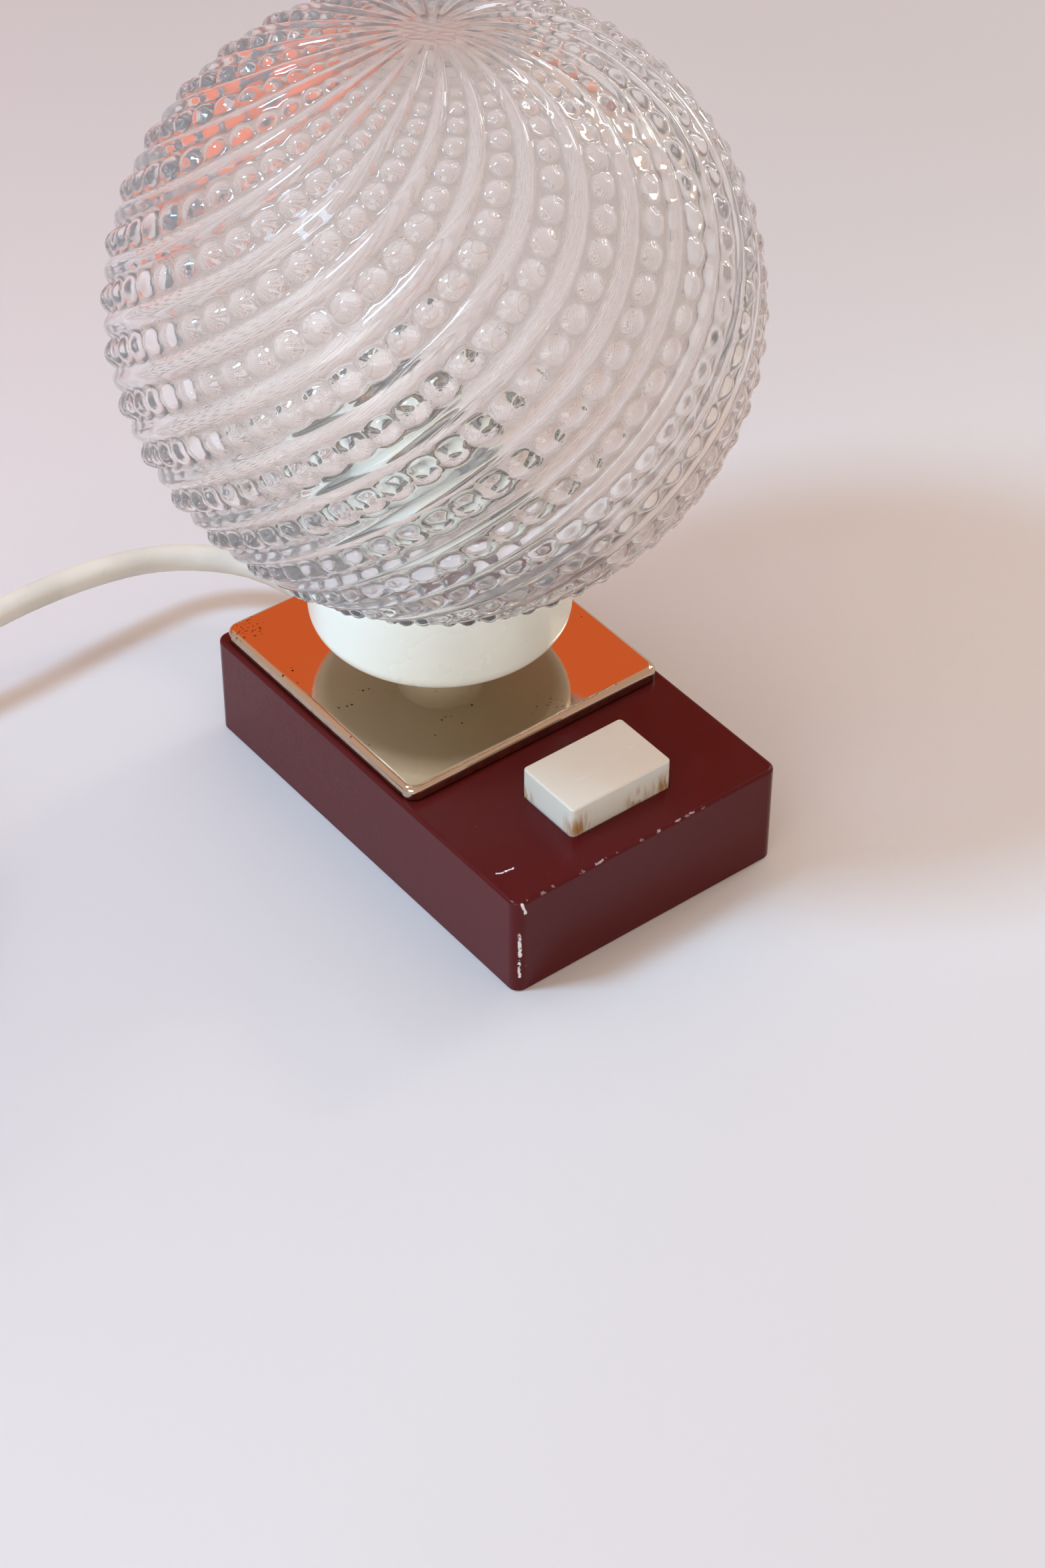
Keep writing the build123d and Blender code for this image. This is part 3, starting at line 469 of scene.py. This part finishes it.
# Proportions of the pressed pattern, lengths in metres and angles in radians
root_tall = 0.0625
pole_angle = radians(4)
first_polar = 0.02
nub_share = 0.54
nub_spacing = 0.60
least_spacing = 0.0016
low_fade_angle = 0.22
nub_start, nub_fade_run = 0.016, 0.012
rib_start, rib_fade_run = 0.005, 0.022
rows_per_nub = 7
columns_per_swirl = 13
inner_rows = 18
neck_play = 0.0004
neck_wall = 0.0034
rim_round = 0.0006
top_play = 0.0001

# Mark of the glass without relief: the neck and the inner wall
smooth_mark = 2.0


# Glass globe
def swirl_angle(polar, rate):
    """How far a row has wound round the globe at a polar angle."""
    if polar <= pi / 2:
        return rate * (1 - cos(polar))
    return rate * (1 + polar - pi / 2)


class LAMP_OT_globe(bpy.types.Operator):
    """Presses the glass globe with its swirled ribs and rows of nubs"""

    bl_idname = "lamp.globe"
    bl_label = "Glass globe"

    def execute(self, context):
        glass, _, _, _ = settings()
        wide = (globe_high.x - globe_low.x) / 2
        neck_low, neck_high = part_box("seat_ring")
        neck_radius = (neck_high.x - neck_low.x) / 2 - neck_play
        rim = neck_high.z
        root_wide = wide - glass.nub_height
        middle = globe_high.z - root_tall * cos(pole_angle)
        last_polar = pi - np.arcsin(neck_radius / root_wide)

        # Rows are spaced so that each nub takes the same number of them
        fine = np.linspace(first_polar, last_polar, 4000)
        slope = np.where(fine < pi / 2, np.sin(fine), 1.0) * glass.swirl_turn
        across = np.sin(fine) * slope
        period = 2 * pi * root_wide * np.sin(fine) / glass.swirl_count / np.sqrt(1 + across**2)
        pitch = np.maximum(nub_spacing * period, least_spacing)
        along = np.sqrt(1 + across**2) * root_wide / pitch
        counted = np.concatenate([[0.0], np.cumsum((along[1:] + along[:-1]) / 2 * np.diff(fine))])
        nub_rows = int(counted[-1] * rows_per_nub)
        nub_at = np.arange(nub_rows + 1) / rows_per_nub
        polar = np.interp(nub_at, counted, fine)
        columns = glass.swirl_count * columns_per_swirl
        phase = np.arange(columns) / columns_per_swirl % 1.0

        # Heights of nubs and ribs over the smooth glass
        reach = np.sin(polar) * root_wide
        low_fade = np.clip((last_polar - polar) / low_fade_angle, 0, 1)
        nub_fade = np.clip((reach - nub_start) / nub_fade_run, 0, 1) * low_fade
        rib_fade = np.clip((reach - rib_start) / rib_fade_run, 0, 1) * low_fade
        in_nub = phase < nub_share
        side = np.where(in_nub, phase / nub_share, (phase - nub_share) / (1 - nub_share)) * 2 - 1
        lean = np.interp(polar, fine, across * period / pitch)
        step = (nub_at[:, None] - lean[:, None] * (phase[None, :] - nub_share / 2)) % 1.0 * 2 - 1
        round_off = side[None, :] ** 2 + step**2
        nubs = np.clip(1 - round_off, 0, 1) * glass.nub_height * nub_fade[:, None]
        ribs = np.clip(1 - side[None, :] ** 2, 0, 1) * glass.rib_height * rib_fade[:, None]
        relief = np.where(in_nub[None, :], nubs, ribs)
        wound = np.array([swirl_angle(p, glass.swirl_turn) for p in polar])
        angle = np.arange(columns)[None, :] * 2 * pi / columns - wound[:, None]
        out_radius = np.sin(polar)[:, None] * (root_wide + relief)
        out_height = middle + np.cos(polar)[:, None] * (root_tall + relief)
        out_height = np.minimum(out_height, globe_high.z - top_play)

        # Neck outside, mouth, and the smooth inner wall back up to the pole
        inner_wide, inner_tall = root_wide - glass.wall, root_tall - glass.wall
        mouth = neck_radius - neck_wall
        inner_last = pi - np.arcsin(mouth / inner_wide)
        neck_top = float(out_height[-1].min())
        rings = [(neck_radius, neck_top - (neck_top - rim) * share) for share in (0.3, 0.65, 0.93)]
        rings += [(neck_radius - rim_round, rim), (mouth + rim_round, rim), (mouth, rim + 0.0008)]
        inner = np.linspace(inner_last, first_polar, inner_rows)
        rings += [(inner_wide * sin(p), middle + inner_tall * cos(p)) for p in inner]
        turn = angle[-1:, :]
        radius = np.vstack([out_radius] + [np.full((1, columns), r) for r, _ in rings])
        height = np.vstack([out_height] + [np.full((1, columns), h) for _, h in rings])
        angle = np.vstack([angle] + [turn] * len(rings))

        # A grid wrapped round the lamp's axis
        rows = radius.shape[0]
        clear_selection()
        bpy.ops.mesh.primitive_grid_add(x_subdivisions=columns, y_subdivisions=rows - 1, size=1.0)
        piece = context.object
        piece.name = piece.data.name = "globe_glass"
        grid = np.empty(len(piece.data.vertices) * 3)
        piece.data.vertices.foreach_get("co", grid)
        grid = grid.reshape(-1, 3)
        column = np.rint((grid[:, 0] + 0.5) * columns).astype(int) % columns
        row = np.rint((grid[:, 1] + 0.5) * (rows - 1)).astype(int)
        spread = radius[row, column]
        grid[:, 0] = spread * np.cos(angle[row, column])
        grid[:, 1] = lamp_y + spread * np.sin(angle[row, column])
        grid[:, 2] = height[row, column]
        piece.data.vertices.foreach_set("co", grid.ravel())
        swell = np.full(radius.shape, smooth_mark)
        swell[: relief.shape[0]] = relief / glass.nub_height
        raised = piece.data.attributes.new("raised", "FLOAT", "POINT")
        raised.data.foreach_set("value", swell[row, column])
        piece.data.update()
        bpy.ops.object.mode_set(mode="EDIT")
        bpy.ops.mesh.select_all(action="SELECT")
        bpy.ops.mesh.remove_doubles(threshold=0.00002)
        bpy.ops.mesh.select_all(action="DESELECT")
        bpy.ops.mesh.select_non_manifold()
        bpy.ops.mesh.edge_face_add()
        bpy.ops.mesh.select_all(action="SELECT")
        bpy.ops.mesh.normals_make_consistent(inside=False)
        bpy.ops.object.mode_set(mode="OBJECT")
        bpy.ops.object.shade_smooth()
        piece.data.materials.append(pressed_finish(glass))
        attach(piece, "globe")
        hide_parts("glass_globe")
        return {"FINISHED"}


def pressed_finish(glass):
    """Clear glass with painted shade in the grooves between nubs and ribs, and painted light low down near
    the cup.
    """
    material = glass_finish("pressed_glass", glass.tint)
    tree = material.node_tree
    shader = tree.nodes["Principled BSDF"]
    raised = add_node(tree, "ShaderNodeAttribute", attribute_name="raised").outputs["Fac"]
    # Painted shade in the grooves, where the raised mark is low
    groove_painted_shade = between(tree, raised, 0.05, 0.45, 1.0, 0.0)
    _, _, _, height = places(tree)
    # Painted light: glass and grooves painted lighter low down near the cup, up to 62 mm, blending to the
    # plain tint by 100 mm
    upper = between(tree, height, 62.0, 100.0)
    crest_painted_light = blend_colour(tree, upper, rgba(glass.low_tint_painted_light), rgba(glass.tint))
    groove_shade_colour = blend_colour(tree, upper, rgba(glass.low_groove_painted_light), rgba(glass.groove_painted_shade))
    with_painted_shading = blend_colour(tree, groove_painted_shade, crest_painted_light, groove_shade_colour)
    feed(shader, "Base Color", with_painted_shading)
    shader.inputs["Transmission Weight"].default_value = 0.93
    shader.inputs["IOR"].default_value = 1.40

    # Light that crosses the outside far from what it falls on is dimmed, so the globe throws a
    # shadow on the floor, and what stands inside it is lit in full
    outside = maths(tree, "LESS_THAN", raised, 1.5)
    length = add_node(tree, "ShaderNodeLightPath").outputs["Ray Length"]
    crossed = maths(tree, "MULTIPLY", outside, maths(tree, "GREATER_THAN", length, 0.07))
    shade = blend_colour(tree, crossed, (1.0, 1.0, 1.0, 1.0), (0.02, 0.012, 0.008, 1.0))
    feed(tree.nodes["Transparent BSDF"], "Color", shade)
    return material


def glass_finish(name, tint):
    """Clear glass that lets light through to what is behind it."""
    material, tree, shader = new_finish(name)
    shader.inputs["Base Color"].default_value = rgba(tint)
    shader.inputs["Transmission Weight"].default_value = 1.0
    shader.inputs["IOR"].default_value = 1.45
    vector, _, _, _ = places(tree)
    cloud = noise(tree, vector, 0.08, 3.0)
    feed(shader, "Roughness", between(tree, cloud, 0.3, 0.8, 0.0, 0.05))
    in_shadow = add_node(tree, "ShaderNodeLightPath").outputs["Is Shadow Ray"]
    clear = add_node(tree, "ShaderNodeBsdfTransparent", {"Color": rgba(tint, 0.56)})
    show(tree, mix_shaders(tree, in_shadow, shader, clear))
    return material


# Chips on the base, in millimetres from its front left corner: start, end and reach
corner_chips = (
    ((1.0, 0.2, 16.2), (1.2, 0.2, 10.0), 0.55),
    ((0.9, 0.2, 8.6), (1.1, 0.2, 4.0), 0.5),
    ((1.5, 0.2, deck), (2.5, 0.0, 21.8), 0.4),
    ((2.9, 10.4, deck), (4.2, 9.8, deck), 0.24),
    ((4.7, 9.8, deck), (6.6, 9.6, deck), 0.26),
)

# Chips along the front edge of the base's top: where they start and end
edge_chips = ((21.0, 22.8), (37.6, 38.0), (42.4, 43.4), (46.2, 47.2))


# Base, plate, cup and button
class LAMP_OT_base(bpy.types.Operator):
    """Gives the base its worn maroon finish"""

    bl_idname = "lamp.base"
    bl_label = "Base"

    def execute(self, context):
        _, _, finish, _ = settings()
        material, tree, shader = new_finish("maroon_moulding")
        vector, _, y, z = places(tree)
        ragged = maths(tree, "MULTIPLY_ADD", noise(tree, vector, 1.4, 4.0), 0.8, -0.4)
        rough_place = vector_maths(tree, "ADD", {0: vector, 1: ragged})
        near = Vector((base_low.x * to_mm, base_low.y * to_mm, 0.0))
        corner = [
            stroke(tree, rough_place, near + Vector(start), near + Vector(end), reach)
            for start, end, reach in corner_chips
        ]
        front = [
            stroke(
                tree,
                rough_place,
                near + Vector((first, 0.3, deck - 0.2)),
                near + Vector((last, 0.3, deck - 0.2)),
                0.32,
            )
            for first, last in edge_chips
        ]
        edge = maths(
            tree,
            "MULTIPLY",
            between(tree, z, deck - 0.7, deck - 0.3),
            between(tree, y, near.y + 0.5, near.y + 0.9, 1.0, 0.0),
        )
        scarce = between(tree, noise(tree, vector, 0.5, 4.0), 0.62, 0.67, 0.0, 0.25)
        few = maths(tree, "MULTIPLY", edge, scarce)
        faint = maths(tree, "MAXIMUM", maths(tree, "MULTIPLY", highest(tree, front), 0.42), few)
        chips = maths(tree, "MAXIMUM", highest(tree, corner), faint)
        cloud = noise(tree, vector, 0.03, 4.0)
        shade = blend_colour(tree, cloud, rgba(finish.maroon, 0.9), rgba(finish.maroon, 1.1))
        specks = between(tree, noise(tree, vector, 1.7, 1.0), 0.80, 0.83)
        dusty = blend_colour(tree, maths(tree, "MULTIPLY", specks, 0.16), shade, rgba(finish.chip, 0.6))
        feed(shader, "Base Color", blend_colour(tree, chips, dusty, rgba(finish.chip)))
        rough = between(tree, noise(tree, vector, 0.12, 4.0), 0.3, 0.75, 0.20, 0.26)
        bare = maths(tree, "MULTIPLY", chips, 0.7)
        feed(shader, "Roughness", maths(tree, "MAXIMUM", rough, bare))
        shader.inputs["Specular IOR Level"].default_value = 0.19
        fine = noise(tree, vector, 1.6, 3.0)
        bump(tree, shader, maths(tree, "SUBTRACT", fine, maths(tree, "MULTIPLY", chips, 2.0)), 0.05, 0.0002)
        wear(["base_housing"], material)
        return {"FINISHED"}


class LAMP_OT_plate(bpy.types.Operator):
    """Gives the plate its polished, pitted finish, with painted reflection on its wall and painted shade at
    its foot
    """

    bl_idname = "lamp.plate"
    bl_label = "Bright plate"

    def execute(self, context):
        _, _, finish, _ = settings()
        material, tree, shader = new_finish("polished_plate")
        vector, _, _, z = places(tree)
        shader.inputs["Metallic"].default_value = 1.0
        top, foot = plate_high.z * to_mm, plate_low.z * to_mm
        wall = between(tree, z, top - 1.9, top - 0.9, 1.0, 0.0)
        # Painted shade: a near-black line at the plate's foot, where it meets the base
        line = between(tree, z, foot + 0.2, foot + 0.7, 1.0, 0.0)
        dots = add_node(tree, "ShaderNodeTexVoronoi", {"Vector": vector, "Scale": 0.55}).outputs["Distance"]
        small = between(tree, dots, 0.10, 0.20, 1.0, 0.0)
        scarce = between(tree, noise(tree, vector, 0.11, 3.0), 0.60, 0.66)
        left_cluster = near_point(tree, vector, (-30.5, 49.5, 28.5), 6.5)
        right_cluster = near_point(tree, vector, (7.7, -12.6, 28.5), 3.0)
        clusters = maths(tree, "MAXIMUM", left_cluster, right_cluster)
        grains = between(tree, noise(tree, vector, 1.3, 3.0), 0.56, 0.66, 0.0, 0.7)
        cluster_dots = maths(tree, "MULTIPLY", between(tree, clusters, 0.05, 0.4), grains)
        pits = maths(tree, "MAXIMUM", maths(tree, "MULTIPLY", small, scarce), cluster_dots, clamp=True)
        patchy = between(tree, noise(tree, vector, 0.5, 4.0), 0.35, 0.7, 0.2, 0.75)
        # Painted reflection: the wall below the rounded top is painted a patchy dark brown for the maroon
        # deck it mirrors, and made a little rougher
        dark_patches = maths(tree, "MULTIPLY", wall, patchy)
        with_painted_shading = blend_colour(tree, dark_patches, rgba(finish.bright), (0.30, 0.22, 0.17, 1.0))
        with_painted_foot_shade = blend_colour(tree, maths(tree, "MULTIPLY", line, 0.8), with_painted_shading, (0.06, 0.045, 0.035, 1.0))
        feed(shader, "Base Color", blend_colour(tree, pits, with_painted_foot_shade, (0.05, 0.025, 0.015, 1.0)))
        haze = between(tree, noise(tree, vector, 0.06, 4.0), 0.35, 0.75, 0.05, 0.12)
        soiled = maths(tree, "MULTIPLY", maths(tree, "MAXIMUM", dark_patches, pits), 0.14)
        feed(shader, "Roughness", maths(tree, "MAXIMUM", haze, soiled))
        waves = noise(tree, vector, 0.05, 1.0)
        bump(tree, shader, maths(tree, "SUBTRACT", waves, pits), 0.05, 0.0004)
        wear(["mirror_plate"], material)
        return {"FINISHED"}


class LAMP_OT_cup(bpy.types.Operator):
    """Gives the cup and the neck their white finish"""

    bl_idname = "lamp.cup"
    bl_label = "Cup and neck"

    def execute(self, context):
        _, _, finish, _ = settings()
        material, tree, shader = new_finish("white_cup")
        vector, _, _, _ = places(tree)
        cloud = noise(tree, vector, 0.04, 4.0)
        patchy = between(tree, cloud, 0.4, 0.7)
        aged = blend_colour(tree, patchy, rgba(finish.white), rgba(finish.white, 0.97))
        spot = near_point(tree, vector, (12.5, -9.0, cup_high.z * to_mm - 2.0), 1.6)
        marks = between(tree, noise(tree, vector, 0.7, 4.0), 0.70, 0.78)
        faint = maths(tree, "MULTIPLY", marks, 0.15)
        soiled = maths(tree, "MAXIMUM", maths(tree, "MULTIPLY", spot, 0.5), faint)
        feed(shader, "Base Color", blend_colour(tree, soiled, aged, (0.42, 0.34, 0.22, 1.0)))
        feed(shader, "Roughness", between(tree, cloud, 0.3, 0.7, 0.20, 0.30))
        bump(tree, shader, noise(tree, vector, 0.6, 2.0), 0.04, 0.0002)
        wear(["shade_cup", "neck_collar", "holder_body"], material)
        return {"FINISHED"}


class LAMP_OT_button(bpy.types.Operator):
    """Gives the button its stained ivory finish, with painted light on its sides"""

    bl_idname = "lamp.button"
    bl_label = "Button"

    def execute(self, context):
        _, _, finish, _ = settings()
        material, tree, shader = new_finish("ivory_button")
        vector, _, _, z = places(tree)
        normal = add_node(tree, "ShaderNodeNewGeometry").outputs["Normal"]
        facing = add_node(tree, "ShaderNodeSeparateXYZ", {0: normal})
        level = between(tree, facing.outputs[2], 0.3, 0.9)
        cloud = noise(tree, vector, 0.12, 3.0)
        # Painted light: sides lighter and cooler than the top by the surface's facing; the yellower top is
        # real aging
        face = blend_colour(tree, level, rgba(finish.ivory_side_painted_light), rgba(finish.ivory))
        aged = blend_colour(tree, maths(tree, "MULTIPLY", cloud, 0.12), face, rgba(finish.stain, 1.6))
        runs = noise(tree, vector, 0.8, 4.0, stretch=(1.0, 1.0, 0.25))
        streaks = between(tree, runs, 0.36, 0.58)
        left, right = button_low.x * to_mm + 1.5, button_high.x * to_mm - 1.5
        near, far = button_low.y * to_mm + 1.5, button_high.y * to_mm - 1.5
        spots = [
            near_point(tree, vector, (left, far - 1.5, deck + 0.4), 3.6),
            near_point(tree, vector, (left + 1.6, near, deck + 1.6), 5.6),
            near_point(tree, vector, (left + 17.5, near, deck + 0.8), 5.0),
            near_point(tree, vector, (right - 2.0, near, deck + 1.0), 5.4),
        ]
        rim = between(tree, z, deck + 0.1, deck + 1.6, 0.14, 0.0)
        stain = maths(tree, "MAXIMUM", rim, maths(tree, "MULTIPLY", highest(tree, spots), streaks))
        scratch = noise(tree, vector, 0.5, 4.0, stretch=(0.25, 1.6, 1.0))
        scuffs = maths(tree, "MULTIPLY", level, between(tree, scratch, 0.66, 0.70, 0.0, 0.2))
        scuffed = blend_colour(tree, scuffs, aged, (0.80, 0.78, 0.72, 1.0))
        feed(shader, "Base Color", blend_colour(tree, stain, scuffed, rgba(finish.stain)))
        feed(shader, "Roughness", between(tree, cloud, 0.3, 0.7, 0.30, 0.42))
        bump(tree, shader, noise(tree, vector, 0.9, 3.0), 0.08, 0.0002)
        wear(["button_cap"], material)
        return {"FINISHED"}


# Pieces that show only when the lamp is turned over or taken apart
def plain_finish(name, colour, roughness, metallic=0.0, grain=0.9, depth=0.15):
    """A moulded, cast or plated finish with light mottling and grain."""
    material, tree, shader = new_finish(name)
    vector, _, _, _ = places(tree)
    cloud = noise(tree, vector, 0.15, 4.0)
    feed(shader, "Base Color", blend_colour(tree, cloud, rgba(colour, 0.8), rgba(colour, 1.2)))
    feed(shader, "Roughness", between(tree, cloud, 0.3, 0.7, roughness * 0.8, roughness * 1.2))
    shader.inputs["Metallic"].default_value = metallic
    bump(tree, shader, noise(tree, vector, grain, 3.0), depth, 0.0002)
    return material


class LAMP_OT_inside(bpy.types.Operator):
    """Gives the hidden pieces their finishes"""

    bl_idname = "lamp.inside"
    bl_label = "Hidden pieces"

    def execute(self, context):
        black = plain_finish("black_moulding", (0.025, 0.025, 0.026), 0.45)
        steel = plain_finish("plated_steel", (0.52, 0.52, 0.51), 0.30, 1.0, 2.0, 0.08)
        brass = plain_finish("plain_brass", (0.66, 0.47, 0.18), 0.28, 1.0, 2.0, 0.08)
        rubber = plain_finish("soft_rubber", (0.035, 0.034, 0.033), 0.75)
        wear(["bottom_cover", "switch_plunger", "switch_body"], black)
        wear(["bulb_insulator", "cord_clamp", "coil_tie"], black)
        wear(["cover_screws", "switch_screws", "switch_spring", "clamp_screws", "bulb_filament"], steel)
        wear(["stem_tube", "lower_washer", "lower_nut", "upper_washer", "upper_nut"], steel)
        wear(["switch_bridge", "switch_contacts", "contact_screws", "plug_pins"], brass)
        wear(["holder_shell", "holder_tongue", "holder_screws"], brass)
        wear(["foot_pads", "seat_ring"], rubber)
        wear(["holder_insert"], plain_finish("porcelain", (0.72, 0.71, 0.67), 0.35))
        wear(["bulb_cap", "bulb_tip"], plain_finish("cap_aluminium", (0.70, 0.70, 0.71), 0.32, 1.0, 2.5, 0.1))
        wear(["live_wire", "switched_wire"], plain_finish("brown_wire", (0.16, 0.06, 0.025), 0.5))
        wear(["neutral_wire"], plain_finish("blue_wire", (0.03, 0.10, 0.36), 0.5))
        wear(["bulb_glass", "bulb_stem"], glass_finish("bulb_clear", (0.98, 0.98, 0.98)))
        return {"FINISHED"}


# Stage
class LAMP_OT_stage(bpy.types.Operator):
    """Sets the floor with its painted shade and shadow, the soft lights and the warm reflector"""

    bl_idname = "lamp.stage"
    bl_label = "Stage"

    def execute(self, context):
        _, _, _, stage = settings()
        clear_selection()
        bpy.ops.mesh.primitive_plane_add(size=8.0, location=(0.0, 0.0, -0.0003))
        floor = context.object
        floor.name = "floor"
        material, tree, shader = new_finish("pale_table")
        vector, x, y, _ = places(tree)
        cloud = noise(tree, vector, 0.002, 2.0)
        # Painted shade: the floor is painted darker and pinker towards the back
        far = between(tree, y, -150.0, 500.0)
        shade = blend_colour(tree, far, rgba(stage.floor), (0.64, 0.55, 0.53, 1.0))
        # Painted shadow: the floor is painted darker towards the right and back, where the lamp's shadow
        # falls
        painted_shadow_beside = between(tree, maths(tree, "ADD", x, y), 60.0, 520.0, 0.0, 0.55)
        dimmed = blend_colour(tree, painted_shadow_beside, shade, rgba(stage.floor, 0.70))
        mottled = blend_colour(tree, maths(tree, "MULTIPLY", cloud, 0.1), dimmed, rgba(stage.floor, 0.92))
        feed(shader, "Base Color", mottled)
        shader.inputs["Roughness"].default_value = 0.55
        away = vector_maths(tree, "LENGTH", {0: vector}, "Value")
        distant = maths(tree, "MULTIPLY", shown(tree), between(tree, away, 480.0, 900.0))
        backdrop = add_node(tree, "ShaderNodeEmission", {"Color": rgba(stage.backdrop)})
        show(tree, mix_shaders(tree, distant, shader, backdrop))
        floor.data.materials.append(material)
        self.reflector(context, stage, "warm_card", 0.42, 1.00, 38, 106)
        self.reflector(context, stage, "low_card", 0.02, 0.42, 68, 128)
        self.light(context, "window", (-0.75, 0.34, 1.09), 0.24, 0.30, stage.key, (0.42, 0.69, 1.0))
        self.light(context, "front_fill", (-1.05, -0.62, 0.42), 0.80, 0.50, stage.fill, (0.80, 0.92, 1.0))
        self.light(context, "cool_strip", (0.89, 0.125, 0.87), 0.60, 0.08, stage.spark, (0.78, 0.90, 1.0))
        self.light(context, "warm_spark", (1.05, 0.05, 0.55), 0.14, 0.14, stage.spark, (1.0, 0.93, 0.74))
        self.sky(context, stage)
        return {"FINISHED"}

    def reflector(self, context, stage, name, low, high, first, last):
        """A curved warm card behind the lamp, seen only in the plate and the glass."""
        clear_selection()
        bpy.ops.mesh.primitive_cylinder_add(
            vertices=72,
            radius=0.85,
            depth=high - low,
            end_fill_type="NOTHING",
            location=(0.0, 0.0, (low + high) / 2),
        )
        card = context.object
        card.name = name
        bpy.ops.object.mode_set(mode="EDIT")
        bpy.ops.mesh.select_all(action="DESELECT")
        bpy.ops.object.mode_set(mode="OBJECT")
        for face in card.data.polygons:
            bearing = degrees(atan2(face.center.y, face.center.x))
            face.select = not first < bearing < last
        bpy.ops.object.mode_set(mode="EDIT")
        bpy.ops.mesh.delete(type="FACE")
        bpy.ops.object.mode_set(mode="OBJECT")
        material, tree, _ = new_finish(name)
        show(tree, add_node(tree, "ShaderNodeEmission", {"Color": rgba(stage.card), "Strength": 1.0}))
        card.data.materials.append(material)
        card.visible_camera = False
        card.visible_diffuse = False
        card.visible_shadow = False

    def light(self, context, name, place, wide, tall, power, colour):
        """A soft area light aimed at the lamp."""
        clear_selection()
        bpy.ops.object.light_add(type="AREA", location=place)
        lamp = context.object
        lamp.name = name
        lamp.data.shape = "RECTANGLE"
        lamp.data.size = wide
        lamp.data.size_y = tall
        lamp.data.energy = power
        lamp.data.color = colour
        aim = Vector((0.0, lamp_y, 0.08)) - Vector(place)
        lamp.rotation_euler = aim.to_track_quat("-Z", "Y").to_euler()

    def sky(self, context, stage):
        """Warm room light, a little darker to the right, and a pale backdrop low down."""
        world = bpy.data.worlds.new("room")
        context.scene.world = world
        world.use_nodes = True
        tree = world.node_tree
        ground = tree.nodes["Background"]
        direction = add_node(tree, "ShaderNodeTexCoord").outputs["Generated"]
        split = add_node(tree, "ShaderNodeSeparateXYZ", {0: direction})
        side = between(tree, split.outputs[0], -0.9, 0.9, 1.0, 0.0)
        feed(ground, "Color", blend_colour(tree, side, (0.68, 0.48, 0.38, 1.0), (0.78, 0.58, 0.48, 1.0)))
        ground.inputs["Strength"].default_value = 1.0
        backdrop = add_node(tree, "ShaderNodeBackground", {"Color": rgba(stage.backdrop)})
        low = maths(tree, "MULTIPLY", shown(tree), between(tree, split.outputs[2], 0.15, 0.40, 1.0, 0.0))
        show(tree, mix_shaders(tree, low, ground, backdrop))


class LAMP_PT_sidebar(bpy.types.Panel):
    """Lists the steps of dressing the lamp"""

    bl_label = "Night lamp"
    bl_idname = "LAMP_PT_sidebar"
    bl_space_type = "VIEW_3D"
    bl_region_type = "UI"
    bl_category = "Night lamp"

    def draw(self, context):
        for step in steps:
            self.layout.operator(step.bl_idname)


steps = [
    LAMP_OT_camera,
    LAMP_OT_cord,
    LAMP_OT_globe,
    LAMP_OT_base,
    LAMP_OT_plate,
    LAMP_OT_cup,
    LAMP_OT_button,
    LAMP_OT_inside,
    LAMP_OT_stage,
]
groups = {
    "lamp_globe": GlobeSettings,
    "lamp_cord": CordSettings,
    "lamp_finish": FinishSettings,
    "lamp_stage": StageSettings,
}


def register():
    """Makes the settings, steps and sidebar known."""
    for kind in (*groups.values(), *steps, LAMP_PT_sidebar):
        bpy.utils.register_class(kind)
    for name, kind in groups.items():
        setattr(bpy.types.Scene, name, PointerProperty(type=kind))


def unregister():
    """Takes them away again."""
    for name in groups:
        delattr(bpy.types.Scene, name)
    for kind in (LAMP_PT_sidebar, *reversed(steps), *groups.values()):
        bpy.utils.unregister_class(kind)


def main():
    """Dresses the lamp step by step."""
    register()
    bpy.context.scene.view_settings.view_transform = "Standard"
    for step in steps:
        group, name = step.bl_idname.split(".")
        getattr(getattr(bpy.ops, group), name)()


if __name__ == "__main__":
    main()
